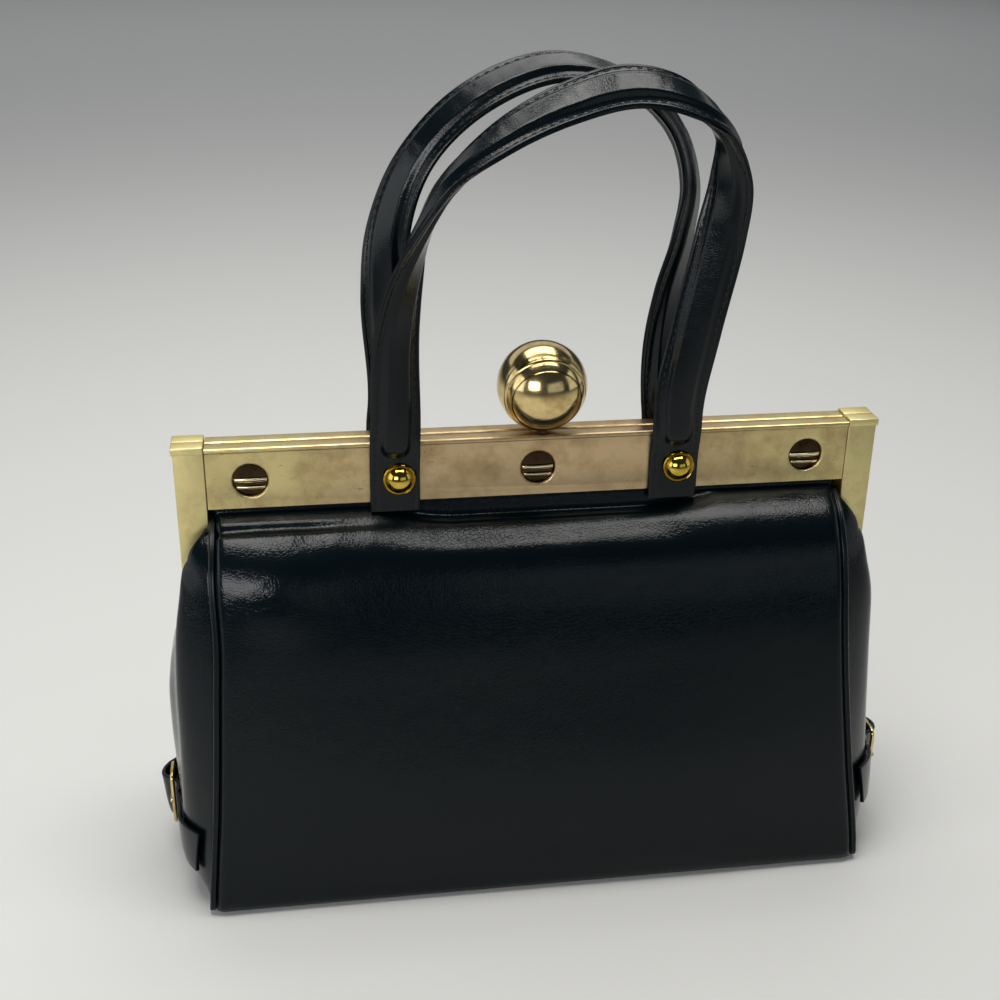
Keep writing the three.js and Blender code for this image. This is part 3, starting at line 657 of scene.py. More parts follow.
GUSSET_ROWS = [
    GussetRow(147.0, 121.4, 119.4),
    GussetRow(145.0, 123.2, 119.4),
    GussetRow(143.0, 125.2, 119.5),
    GussetRow(140.5, 127.4, 119.5),
    GussetRow(137.5, 129.4, 119.6),
    GussetRow(134.5, 130.6, 119.7),
    GussetRow(131.0, 131.5, 119.8),
    GussetRow(122.0, 133.2, 120.0),
    GussetRow(116.0, 134.4, 120.4),
    GussetRow(111.5, 135.1, 124.5),
    GussetRow(106.5, 135.6, 132.0),
    GussetRow(99.0, 136.0, 136.6),
    GussetRow(85.0, 136.6, 139.8),
    GussetRow(65.0, 137.2, 141.0),
    GussetRow(45.0, 138.0, 140.6),
    GussetRow(28.0, 138.4, 139.8),
    GussetRow(14.0, 137.0, 138.0),
    GussetRow(8.0, 134.6, 135.4),
    GussetRow(4.4, 131.0, 131.4),
]

# How far the soft body leans to the left. Columns: height, shift.
LEAN_ROWS = [
    (156.0, 0.0), (150.0, -0.5), (141.0, -1.1), (110.0, -1.0),
    (88.0, -1.1), (47.0, -0.6), (13.0, 0.0), (-1.0, 0.0),
]


class BagShape:
    """The bag's soft outline in smooth lines: the panel's profile, its seams and the side walls."""

    leather = 1.6
    clearance = 0.1
    piping_radius = 1.3
    piping_inset = 2.0
    seam_inset = 3.5
    seam_top = 150.4
    leg_channel = 7.0
    channel_share = 0.8
    puff_crest = 0.5
    seam_cover = 0.6
    seam_steps = 200
    least_fall = 0.02
    slope_step = 0.6
    sag_left = (-62.0, -30.0)
    sag_right = (75.0, 40.0)
    sag_spread = 5.0
    shelf_depth = 3.8
    shelf_start = (4.3, 5.8)
    shelf_out = 6.5
    dip_depth = 1.5
    dip_out = 17.0
    core = Vector((0.0, 0.0, 75.0))

    def __init__(self) -> None:
        """Draws the lines through the tables."""
        self.profile = Spline(PANEL_PROFILE)
        self.gusset_lines = Spline([row[1:] for row in GUSSET_ROWS], [-row.height for row in GUSSET_ROWS])
        self.leaning = Spline([(shift, 0.0) for _, shift in LEAN_ROWS], [-height for height, _ in LEAN_ROWS])
        self.length = self.profile.knots[-1]
        self.seam_start = self._start_of_seam()
        edge = [self.seam(self.seam_inset, i / self.seam_steps) for i in range(self.seam_steps + 1)]
        falling = [edge[0]]
        for row in edge:
            if row.x < falling[-1].x - self.least_fall and row.x > GUSSET_ROWS[-1].height:
                falling.append(row)
        self.gusset_line = Spline(falling)
        self.gusset_edges = Spline([row.yz for row in falling], [-row.x for row in falling])

    def _start_of_seam(self) -> float:
        """Length along the profile where the side seam starts."""
        count = 2 * self.seam_steps
        steps = (self.length * i / count for i in range(count + 1))
        return next(step for step in steps if self.profile.at(step).x < self.seam_top)

    def lean(self, height: float) -> float:
        """How far the soft body is shifted along X at a height."""
        return self.leaning.at(-height).x

    def sag(self, x: float, out: float) -> float:
        """How far the leather between the handles has sunk below its profile, as a shelf under the bar."""
        middle = smooth(*self.sag_left, x) * smooth(*self.sag_right, x)
        shelf = self.shelf_depth * smooth(*self.shelf_start, out) * bell(out, self.shelf_out, self.sag_spread)
        return middle * (shelf + self.dip_depth * bell(out, self.dip_out, self.sag_spread))

    def outward(self, place: float) -> Vector:
        """The way out of the front's profile at a length along it, as height and distance out."""
        before, after = self.profile.at(place - self.slope_step), self.profile.at(place + self.slope_step)
        along = (after - before).xy.normalized()
        return Vector((along.y, -along.x))

    def seam(self, inset: float, share: float) -> Vector:
        """A point of the front seam, moved in from the panel's outer face.

        Args:
            inset: How far it is moved in.
            share: Place from the top of the seam, 0, to the middle of the bottom, 1.

        Returns:
            Height, distance out from the middle plane and half width.
        """
        place = lerp(self.seam_start, self.length, share)
        row, out = self.profile.at(place), self.outward(place)
        return Vector((row.x - inset * out.x, row.y - inset * out.y, row.z))

    def reach(self, depth: float, height: float, edge: float, half: float) -> float:
        """How far the side wall stands out, between seams at a depth and half width."""
        channel = min(self.leg_channel, self.channel_share * edge)
        puff, middle = self.gusset_lines.at(-height)
        seam = half + self.seam_cover
        share = clamp((edge - abs(depth)) / (edge - channel))
        if share < self.puff_crest:
            return lerp(seam, puff, math.sin(math.pi / 2 * share / self.puff_crest))
        fall = math.cos(math.pi / 2 * (share - self.puff_crest) / (1 - self.puff_crest)) ** 2
        return lerp(middle, puff, fall)

    def gusset_point(self, side: Side, depth: float, height: float) -> Vector:
        """The point of a side wall at a depth and height."""
        reach = self.reach(depth, height, *self.gusset_edges.at(-height))
        return Vector((side.value * reach + self.lean(height), depth, height))


# Sub-assemblies


class Assembly:
    """What every sub-assembly shares: a mesh becomes a dressed piece that rides on the bag."""

    def place(self, name: str, bm: Mesh, finish: Finish, slot: Slot, *nodes: str) -> Piece:
        """Makes a piece from a mesh in millimetres.

        Args:
            name: The piece's name.
            bm: Its mesh, which is used up.
            finish: Its finish.
            slot: The record's material slot; not used.
            *nodes: The solids that it stands for.

        Returns:
            The piece.
        """
        bmesh.ops.scale(bm, vec=(MM, MM, MM), verts=bm.verts[:])
        mesh = bpy.data.meshes.new(name)
        bm.to_mesh(mesh)
        bm.free()
        mesh.materials.append(finish.material())
        mesh.shade_smooth()
        piece = bpy.data.objects.new(name, mesh)
        bpy.context.scene.collection.objects.link(piece)
        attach(piece, BODY)
        if nodes:
            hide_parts(*nodes)
        LOG.info("%s: %d faces", name, len(mesh.polygons))
        return piece

    def crisp(self, piece: Piece, angle: float = 35.0) -> Piece:
        """Keeps the edges of a metal piece crisp where its faces meet at more than an angle."""
        piece.data.set_sharp_from_angle(angle=math.radians(angle))
        return piece

    def wall(self, piece: Piece, thickness: float) -> Piece:
        """Gives a sheet its thickness, behind the face that shows."""
        solid = piece.modifiers.new("wall", "SOLIDIFY")
        solid.thickness = thickness * MM
        solid.offset = -1.0
        return piece


@dataclass
class BodyPanel(Assembly):
    """The leather cloth of front, bottom and back in one piece, tucked in behind the frame bars."""

    shape: BagShape
    columns: int = 140
    rows: int = 270
    crowding: float = 1.45
    crown: float = 1.6
    belly: float = 3.4
    belly_height: float = 42.0
    belly_spread: float = 30.0
    frame_top: float = FRAME_TOP
    crease_place: float = 13.6
    crease_spread: float = 2.0
    crease_depth: float = 1.1
    crease_start: float = 35.0
    crease_end: float = 95.0
    edge_roll: float = 1.0
    edge_width: float = 3.6
    wave: float = 0.5
    wave_length: float = 70.0
    swell: float = 1.6
    swell_length: float = 130.0
    bulge: float = 2.0
    bulge_at: tuple[float, float] = (-98.0, 128.0)
    bulge_spread: tuple[float, float] = (17.0, 15.0)
    pucker: float = 0.22
    pucker_height: float = 144.0
    pucker_spread: float = 5.0
    pucker_cell: tuple[float, float] = (10.0, 30.0)
    wrinkle: float = 0.2
    wrinkle_at: tuple[float, float] = (-98.0, 130.0)
    wrinkle_spread: tuple[float, float] = (22.0, 11.0)
    wrinkle_cell: tuple[float, float] = (5.5, 3.6)
    free_top: tuple[float, float] = (150.0, 138.0)
    free_foot: tuple[float, float] = (0.0, 14.0)
    free_side: float = 20.0
    roll_top: tuple[float, float] = (151.5, 147.0)
    noise_depth: float = 40.0
    noise_turn: float = 7.0
    noise_layer: float = 3.0

    def build(self) -> None:
        """Makes the panel."""
        bm = facing_out(lofted(self.columns, self.rows, self.point), self.shape.core)
        piece = self.place("body_panel_cloth", bm, BODY_CLOTH, Slot.LEATHER, "body_panel")
        self.wall(piece, self.shape.leather)

    def point(self, across: float, along: float) -> Vector:
        """The panel's outer face, from the front tuck at -1 over the bottom to the back tuck at 1."""
        face = Face.FRONT if along < 0 else Face.BACK
        place = self.shape.length * (1.0 - abs(along)) ** self.crowding
        height, out, half = self.shape.profile.at(place)
        edge = half - self.shape.piping_radius - self.shape.clearance
        x = edge * across
        rise = self.relief(x, height, place, edge, face)
        way = self.shape.outward(place)
        high = height - self.shape.sag(x, out)
        spot = max(high + rise * way.x, 0.0)
        return Vector((x + self.shape.lean(height), face.value * (out + rise * way.y), spot))

    def relief(self, x: float, height: float, place: float, edge: float, face: Face) -> float:
        """How far a point of front or back stands out from its profile."""
        free = smooth(*self.free_top, height) * smooth(*self.free_foot, height)
        crown = self.crown * math.sin(math.pi * height / self.frame_top)
        crown += self.belly * bell(height, self.belly_height, self.belly_spread)
        crown *= 1.0 - (x / edge) ** 2
        spot = Vector((x, face.value * self.noise_depth, height))
        wave = self.wave * noise.noise(spot / self.wave_length)
        wave += self.swell * noise.noise(spot / self.swell_length)
        near = smooth(edge, edge - self.free_side, abs(x))
        return free * (crown + near * wave) + self.folds(x, height, place, face) - self.roll(x, height, edge)

    def folds(self, x: float, height: float, place: float, face: Face) -> float:
        """Gathers under the bar, the crease from the left seam and the wrinkles below it."""
        wide, tall = self.pucker_cell
        gather = noise.noise(Vector((x / wide, face.value * self.noise_turn, height / tall)))
        rise = self.pucker * bell(height, self.pucker_height, self.pucker_spread) * gather
        if face is Face.FRONT:
            reach = smooth(self.crease_start, self.crease_end, -x)
            rise -= self.crease_depth * bell(place, self.crease_place, self.crease_spread) * reach
            wide, tall = self.wrinkle_cell
            spread = self.spot(x, height, self.wrinkle_at, self.wrinkle_spread)
            rise += self.wrinkle * spread * noise.noise(Vector((x / wide, height / tall, self.noise_layer)))
            rise += self.bulge * self.spot(x, height, self.bulge_at, self.bulge_spread)
        return rise

    def spot(self, x: float, height: float, at: tuple[float, float], spread: tuple[float, float]) -> float:
        """A soft bump of height 1 about a place on the panel."""
        return bell(x, at[0], spread[0]) * bell(height, at[1], spread[1])

    def roll(self, x: float, height: float, edge: float) -> float:
        """How far the panel turns down beside the piping."""
        near = 1.0 - clamp((edge - abs(x)) / self.edge_width)
        return self.edge_roll * (1.0 - math.sqrt(1.0 - near ** 2)) * smooth(*self.roll_top, height)


@dataclass
class Piping(Assembly):
    """The folded edging along one side seam, from bar to bar round the bottom: two fine ridges."""

    shape: BagShape
    side: Side
    around: int = 28
    along: int = 280
    rise: float = 1.1
    groove: float = 0.3
    groove_width: float = 0.3

    def build(self) -> None:
        """Makes the edging."""
        name = self.side.name.lower()
        bm = closed_tube(lofted(self.around, self.along, self.point))
        self.place(f"seam_piping_{name}", bm, PIPING_CLOTH, Slot.PIPING, f"piping_{name}")

    def centre(self, along: float) -> Vector:
        """The edging's middle, from the front top at -1 to the back top at 1."""
        height, out, half = self.shape.seam(self.shape.piping_inset, 1.0 - abs(along))
        return Vector((self.side.value * half + self.shape.lean(height), math.copysign(out, along), height))

    def point(self, across: float, along: float) -> Vector:
        """The edging's surface, with a groove between its two ridges."""
        step = 1.0 / self.along
        tangent = self.centre(min(along + step, 1.0)) - self.centre(max(along - step, -1.0))
        sideways = Vector((1.0, 0.0, 0.0))
        outward = tangent.cross(sideways).normalized()
        angle = math.pi * across
        offset = self.shape.piping_radius * math.cos(angle)
        lift = self.rise * math.sin(angle)
        if lift > 0.0:
            lift -= self.groove * bell(offset, 0.0, self.groove_width)
        return self.centre(along) + sideways * offset + outward * lift


@dataclass
class Gusset(Assembly):
    """One side wall: two soft puffs beside the frame leg that run together below it."""

    shape: BagShape
    side: Side
    columns: int = 72
    rows: int = 150
    wave: float = 0.5
    wave_length: float = 34.0
    free_edge: tuple[float, float] = (1.0, 0.8)
    free_foot: tuple[float, float] = (5.0, 25.0)
    free_top: tuple[float, float] = (147.0, 135.0)
    pleat: float = 0.9
    pleat_top: float = 140.0
    pleat_depth: float = 9.0
    pleat_slant: float = 0.9
    pleat_width: float = 1.6
    pleat_start: tuple[float, float] = (8.0, 10.0)
    pleat_end: tuple[float, float] = (24.0, 16.0)

    def build(self) -> None:
        """Makes the side wall."""
        name = self.side.name.lower()
        bm = facing_out(lofted(self.columns, self.rows, self.point), self.shape.core)
        piece = self.place(f"side_gusset_{name}", bm, BODY_CLOTH, Slot.LEATHER, f"gusset_{name}")
        self.wall(piece, self.shape.leather)

    def point(self, across: float, along: float) -> Vector:
        """The side wall's outer face, from the front seam at -1 to the back seam at 1."""
        line = self.shape.gusset_line
        height, edge, half = line.at(line.knots[-1] * (along + 1.0) / 2)
        depth = edge * across
        reach = self.shape.reach(depth, height, edge, half)
        spot = Vector((self.side.value * reach, depth, height))
        free = smooth(*self.free_edge, abs(across))
        free *= smooth(*self.free_foot, height) * smooth(*self.free_top, height)
        fold = self.wave * free * noise.noise(spot / self.wave_length) - self.fold(abs(depth), height)
        return spot + Vector((self.side.value * fold + self.shape.lean(height), 0.0, 0.0))

    def fold(self, depth: float, height: float) -> float:
        """Depth of the slanting pleat that runs down from the top corner beside the leg."""
        line = self.pleat_top - self.pleat_slant * (depth - self.pleat_depth)
        fade = smooth(*self.pleat_start, depth) * smooth(*self.pleat_end, depth)
        return self.pleat * bell(height, line, self.pleat_width) * fade


@dataclass
class FrameHalf(Assembly):
    """One half of the gilt frame: a pierced bar with a rolled lip, and a capped leg at each end."""

    face: Face
    width: float = 266.0
    top: float = FRAME_TOP
    bar_height: float = 24.0
    leg_width: float = 11.0
    leg_foot: float = 116.0
    metal: float = 1.4
    bar_face: float = BAR_FACE
    leg_face: float = 6.1
    split: float = 0.2
    lip: float = 1.05
    lip_setback: float = 0.2
    lip_steps: int = 12
    cap_proud: float = 0.6
    cap_rise: float = 0.9
    gap: float = 0.3
    top_round: float = 1.3
    top_sheet: float = 1.8
    edge_round: float = 0.35
    cap_round: float = 0.4
    tool_depth: float = 6.0
    screw_places: tuple[float, ...] = SCREW_PLACES
    screw_height: float = SCREW_HEIGHT
    hole: float = 6.5
    hole_sides: int = 72
    rim: float = 0.8

    def build(self) -> None:
        """Makes the bar and both legs."""
        name = self.face.name.lower()
        bar = self.place(f"frame_{name}_plate", self.bar(), PLATE, Slot.PLATE, f"frame_{name}_bar")
        self.crisp(bar)
        for side in Side:
            end = side.name.lower()
            # The legs take the lit copy of the plate, painted paler than the bar
            leg = self.place(
                f"frame_{name}_post_{end}", self.leg(side), LIT_LEG_PLATE, Slot.PLATE, f"frame_{name}_leg_{end}"
            )
            self.crisp(leg)

    def bar(self) -> Mesh:
        """The bar: its section drawn out, pierced for the screws, with rounded rims."""
        bottom, back = self.top - self.bar_height, self.bar_face - self.metal
        lip_out, lip_height = self.bar_face - self.lip_setback, self.top - self.lip
        arc = [math.radians(lerp(-75.0, 90.0, i / self.lip_steps)) for i in range(self.lip_steps + 1)]
        section = [(back, bottom), (self.bar_face, bottom), (self.bar_face, self.top - 2 * self.lip)]
        section += [(lip_out + self.lip * math.cos(a), lip_height + self.lip * math.sin(a)) for a in arc]
        corner, turn = self.split + self.top_round, [math.radians(90.0 + 15.0 * i) for i in range(7)]
        low = self.top - self.top_round
        section += [(corner + self.top_round * math.cos(a), low + self.top_round * math.sin(a)) for a in turn]
        section += [(self.split, self.top - self.top_sheet), (back, self.top - self.top_sheet)]
        length = self.width - 2 * (self.leg_width + self.gap)
        lay = axes((0, self.face.value, 0), (0, 0, 1), (1, 0, 0), (-length / 2, 0, 0))
        bm = carved(extruded(section, lay, length), self.piercing())
        rims = [edge for edge in sharp_edges(bm, 60.0) if self.on_rim(edge)]
        round_edges(bm, rims, self.rim, 3)
        return bm

    def piercing(self) -> Mesh:
        """The three round tools for the screw holes."""
        tools = bmesh.new()
        for x in self.screw_places:
            spot = (x, self.face.value * self.bar_face, self.screw_height)
            bmesh.ops.create_cone(
                tools, cap_ends=True, segments=self.hole_sides, radius1=self.hole, radius2=self.hole,
                depth=self.tool_depth,
                matrix=Matrix.Translation(spot) @ Matrix.Rotation(math.pi / 2, 4, "X"),
            )
        return tools

    def on_rim(self, edge: bmesh.types.BMEdge) -> bool:
        """True for an edge of the outer rim of a screw hole."""
        spots = [(vert.co.x, vert.co.z) for vert in edge.verts]
        outer = all(abs(abs(vert.co.y) - self.bar_face) < 0.01 for vert in edge.verts)
        return outer and any(
            all(abs(math.hypot(x - place, z - self.screw_height) - self.hole) < 0.05 for x, z in spots)
            for place in self.screw_places
        )

    def leg(self, side: Side) -> Mesh:
        """A leg: plate, outer edge and raised cap."""
        face, end = self.face.value, side.value
        outer, cap_top = self.width / 2, self.top + self.cap_rise
        inner = outer - self.leg_width
        section = [
            (inner, self.leg_face - self.metal),
            (inner, self.leg_face),
            (outer, self.leg_face),
            (outer, self.split),
            (outer - self.metal, self.split),
            (outer - self.metal, self.leg_face - self.metal),
        ]
        lay = axes((end, 0, 0), (0, face, 0), (0, 0, 1), (0, 0, self.leg_foot))
        angle = extruded(section, lay, self.top - self.leg_foot)
        round_edges(angle, sharp_edges(angle, 60.0), self.edge_round, 3)
        cap = block(
            (end * inner, face * self.split, cap_top - 2 * self.metal),
            (end * (outer + self.cap_proud), face * (self.leg_face + self.cap_proud), cap_top),
            self.cap_round,
        )
        return gathered(angle, cap)


class Rib(NamedTuple):
    """A rib across a screw: how far its middle lies below the screw's, and half its height."""

    drop: float
    half: float


@dataclass
class FrameScrews(Assembly):
    """The ornamental screws of one bar: dark sunk heads, with two bright ribs that mark the slot."""

    face: Face
    places: tuple[float, ...] = SCREW_PLACES
    height: float = SCREW_HEIGHT
    radius: float = 6.4
    bar_face: float = BAR_FACE
    rim_out: float = -1.7
    crown_out: float = -1.3
    disc: float = 7.0
    back: float = -2.9
    rib_out: float = -0.45
    rib_bow: float = 0.7
    rib_slant: float = 0.35
    rib_gap: float = 0.15
    rib_sunk: float = 0.2
    rib_round: float = 0.7
    rib_cuts: int = 15
    crown_rows: int = 8
    ribs: tuple[Rib, ...] = (Rib(0.35, 0.95), Rib(3.2, 0.6))
    steps: int = 64

    def build(self) -> None:
        """Makes the three screws."""
        for x, place in zip(self.places, ("left", "middle", "right")):
            node = f"frame_screw_{self.face.name.lower()}_{place}"
            self.crisp(self.place(f"{node}_head", self.head(x), DARK_BRASS, Slot.POLISHED, node))
            # The ribs take the lit copy of the gilt, painted near white as a highlight
            self.place(f"{node}_ribs", self.slot_ribs(x), LIT_RIB_GILT, Slot.POLISHED)

    def head(self, x: float) -> Mesh:
        """The sunk head, a little crowned."""
        shares = [i / self.crown_rows for i in range(self.crown_rows + 1)]
        rows = [(self.radius * t, lerp(self.crown_out, self.rim_out, t * t)) for t in shares]
        rows += [(self.disc, self.rim_out), (self.disc, self.back), (0.0, self.back)]
        face = self.face.value
        lay = axes((1, 0, 0), (0, 0, -face), (0, face, 0), (x, face * self.bar_face, self.height))
        return turned(rows, lay, self.steps)

    def slot_ribs(self, x: float) -> Mesh:
        """The two ribs, bowed out a little in the middle."""
        parts = []
        for rib in self.ribs:
            half = math.sqrt(self.radius ** 2 - rib.drop ** 2) - self.rib_gap
            spot = self.height - rib.drop
            bar = block(
                (-half, self.rim_out - self.rib_sunk, spot - rib.half),
                (half, self.rib_out, spot + rib.half),
                rib.half * self.rib_round,
                4,
            )
            cuts = [edge for edge in bar.edges if abs(edge.verts[0].co.x - edge.verts[1].co.x) > half]
            bmesh.ops.subdivide_edges(bar, edges=cuts, cuts=self.rib_cuts, use_grid_fill=True)
            for vert in bar.verts:
                bow = 1.0 - (vert.co.x / half) ** 2
                out = vert.co.y + self.rib_bow * (bow - 1.0) + self.rib_slant * (vert.co.z - spot)
                vert.co = Vector((x + vert.co.x, self.face.value * (self.bar_face + out), vert.co.z))
            bmesh.ops.recalc_face_normals(bar, faces=bar.faces[:])
            parts.append(bar)
        return gathered(*parts)


@dataclass
class HandleRivet(Assembly):
    """A bright domed rivet in a thin raised rim, at the foot of a handle."""

    face: Face
    side: Side
    places: tuple[float, float] = (-51.5, 54.5)
    height: float = 163.0
    seat: float = 8.9
    steps: int = 64
    profile: tuple[tuple[float, float], ...] = (
        (0.0, 4.5), (1.3, 4.36), (2.6, 3.92), (3.7, 3.2), (4.5, 2.35), (5.05, 1.4), (5.25, 0.8), (5.35, 0.5),
        (5.45, 0.48), (5.55, 0.7), (5.8, 0.85), (6.0, 0.7), (6.12, 0.35), (6.1, 0.0), (1.7, 0.0), (1.7, -4.6),
        (3.0, -4.6), (3.0, -5.6), (0.0, -5.6),
    )

    def build(self) -> None:
        """Makes the rivet."""
        node = f"handle_rivet_{self.face.name.lower()}_{self.side.name.lower()}"
        face = self.face.value
        x = self.places[0] if self.side is Side.LEFT else self.places[1]
        lay = axes((1, 0, 0), (0, 0, -face), (0, face, 0), (x, face * self.seat, self.height))
        head = turned(self.profile, lay, self.steps)
        self.crisp(self.place(f"{node}_head", head, RIVET_GILT, Slot.POLISHED, node), 50.0)


@dataclass
class BallClasp(Assembly):
    """The ball clasp: a shell on the back bar, open to the front, filled by a dome on the front bar."""

    shift: float = 2.7
    frame_top: float = FRAME_TOP
    radius: float = 16.85
    height: float = 194.45
    tilt: float = 12.0
    wall: float = 1.4
    ring: float = 15.05
    mouth: float = 13.0
    groove: float = 0.3
    dome: float = 16.7
    dome_edge: float = 12.7
    skirt: float = 0.8
    steps: int = 96
    neck: tuple[tuple[float, float], ...] = ((0.0, 1.5), (2.6, 1.5), (2.6, 0.6), (3.0, -1.5), (0.0, -1.5))
    neck_back: float = 3.35
    neck_rise: float = 1.8
    neck_steps: int = 32
    stem_half: float = 1.4
    stem_depths: tuple[float, float] = (-6.3, -4.2)
    stem_rises: tuple[float, float] = (0.2, 4.6)
    stem_round: float = 0.5

    def build(self) -> None:
        """Makes both halves."""
        lay = Matrix.Translation((self.shift, 0.0, self.height))
        lay = lay @ Matrix.Rotation(math.pi / 2 + math.radians(self.tilt), 4, "X")
        foot = Matrix.Translation((self.shift, self.neck_back, self.frame_top + self.neck_rise))
        neck = turned(self.neck, foot, self.neck_steps)
        ball = gathered(turned(self.shell(), lay, self.steps), neck)
        self.crisp(self.place("clasp_ball_shell", ball, POLISHED, Slot.POLISHED, "clasp_ball_back"), 50.0)
        dome = turned(self.cap(), lay, self.steps)
        self.crisp(self.place("clasp_dome", dome, POLISHED, Slot.POLISHED, "clasp_ball_front"), 50.0)
        stem = block(
            (self.shift - self.stem_half, self.stem_depths[0], self.frame_top + self.stem_rises[0]),
            (self.shift + self.stem_half, self.stem_depths[1], self.frame_top + self.stem_rises[1]),
            self.stem_round,
        )
        self.place("clasp_stem", stem, DARK_BRASS, Slot.POLISHED)

    def arc(self, radius: float, start: float, end: float, count: int) -> list[tuple[float, float]]:
        """Points of an arc about the middle of the ball, by angles off the clasp's axis."""
        angles = [lerp(start, end, i / count) for i in range(count + 1)]
        return [(max(radius * math.sin(a), 0.0), radius * math.cos(a)) for a in angles]

    def shell(self) -> list[tuple[float, float]]:
        """Profile of the ball: outside with a fine engraved ring, mouth and inside."""
        inside = self.radius - self.wall
        ring, mouth = math.asin(self.ring / self.radius), math.asin(self.mouth / self.radius)
        sunk, far = self.radius - self.groove, ring - 2 * self.groove / self.radius
        middle = (ring + far) / 2
        inner = math.asin(self.mouth / inside)
        return [
            *self.arc(self.radius, math.pi, ring, 40),
            (sunk * math.sin(middle), sunk * math.cos(middle)),
            *self.arc(self.radius, far, mouth, 6),
            *self.arc(inside, inner, math.pi, 24),
        ]

    def cap(self) -> list[tuple[float, float]]:
        """Profile of the dome: it carries on the ball's curve, with a short skirt inside the mouth."""
        inside = self.dome - self.wall
        edge, rim = math.asin(self.dome_edge / self.dome), math.asin((self.dome_edge - self.wall) / inside)
        low = self.dome * math.cos(edge) - self.skirt
        return [
            *self.arc(self.dome, 0.0, edge, 28),
            (self.dome_edge, low),
            (self.dome_edge - self.wall, low),
            *self.arc(inside, rim, 0.0, 16),
        ]


class StrapRow(NamedTuple):
    """A row of a handle's line: its middle, the way to one edge, and how far its padding has risen."""

    centre: tuple[float, float, float]
    edge: tuple[float, float, float]
    pad: float


FRONT_HANDLE_ROWS = [
    StrapRow((-53, -7.4, 150), (-1, 0, 0), 0),
    StrapRow((-53, -7.4, 168), (-1, 0, 0), 0),
    StrapRow((-52.8, -8.5, 177.5), (-1, 0, 0), 0.1),
    StrapRow((-52.6, -8.8, 184), (-0.99, -0.1, 0), 1),
    StrapRow((-51.2, -9.4, 222), (-0.86, -0.5, 0.03), 1),
    StrapRow((-47.6, -10, 240), (-0.65, -0.75, 0.07), 1),
    StrapRow((-42.4, -10.5, 255.5), (-0.2, -0.96, 0.2), 1),
    StrapRow((-34, -11, 271), (0.12, -0.98, 0.1), 1),
    StrapRow((-17.3, -11.5, 285.6), (0.2, -0.93, -0.28), 1),
    StrapRow((7.4, -11.5, 298.4), (0.12, -0.82, -0.56), 1),
    StrapRow((30.2, -11, 303.6), (0, -0.78, -0.63), 1),
    StrapRow((49.2, -10.5, 299), (-0.2, -0.88, -0.42), 1),
    StrapRow((62.4, -10, 287.6), (0, -0.99, 0.05), 1),
    StrapRow((66, -9.5, 271), (0.55, -0.83, 0.05), 1),
    StrapRow((63.9, -9.2, 252), (0.84, -0.53, 0.1), 1),
    StrapRow((57.6, -9, 217.5), (0.92, -0.36, 0.12), 1),
    StrapRow((53, -8.8, 186), (0.99, -0.1, 0.03), 1),
    StrapRow((53.2, -8.5, 177.5), (1, 0, 0), 0.1),
    StrapRow((53, -7.4, 168), (1, 0, 0), 0),
    StrapRow((53, -7.4, 150), (1, 0, 0), 0),
]

BACK_HANDLE_ROWS = [
    StrapRow((-53, 7.4, 150), (1, 0, 0), 0),
    StrapRow((-53, 7.4, 168), (1, 0, 0), 0),
    StrapRow((-53, 8.5, 177.5), (1, 0, 0), 0.1),
    StrapRow((-52.2, 8.8, 186), (0.99, -0.1, 0), 1),
    StrapRow((-54, 9, 228), (0.94, -0.33, 0), 1),
    StrapRow((-52.6, 9.5, 251), (0.76, -0.63, 0.1), 1),
    StrapRow((-44.2, 10, 273.8), (0.6, -0.79, -0.05), 1),
    StrapRow((-25, 10.5, 294.6), (0.34, -0.86, -0.38), 1),
    StrapRow((10.4, 10.5, 307.2), (0.06, -0.92, -0.38), 1),
    StrapRow((35.4, 10, 299.6), (-0.12, -0.96, -0.2), 1),
    StrapRow((50.6, 9.6, 284.6), (-0.36, -0.92, 0.06), 1),
    StrapRow((56.8, 9.2, 265), (-0.46, -0.86, 0.2), 1),
    StrapRow((55.2, 9, 247), (-0.57, -0.79, 0.22), 1),
    StrapRow((51.6, 8.9, 227), (-0.75, -0.63, 0.18), 1),
    StrapRow((51, 8.8, 205), (-0.95, -0.28, 0.08), 1),
    StrapRow((52.2, 8.6, 185), (-1, -0.05, 0), 1),
    StrapRow((53, 8.5, 177.5), (-1, 0, 0), 0.1),
    StrapRow((53, 7.4, 168), (-1, 0, 0), 0),
    StrapRow((53, 7.4, 150), (-1, 0, 0), 0),
]


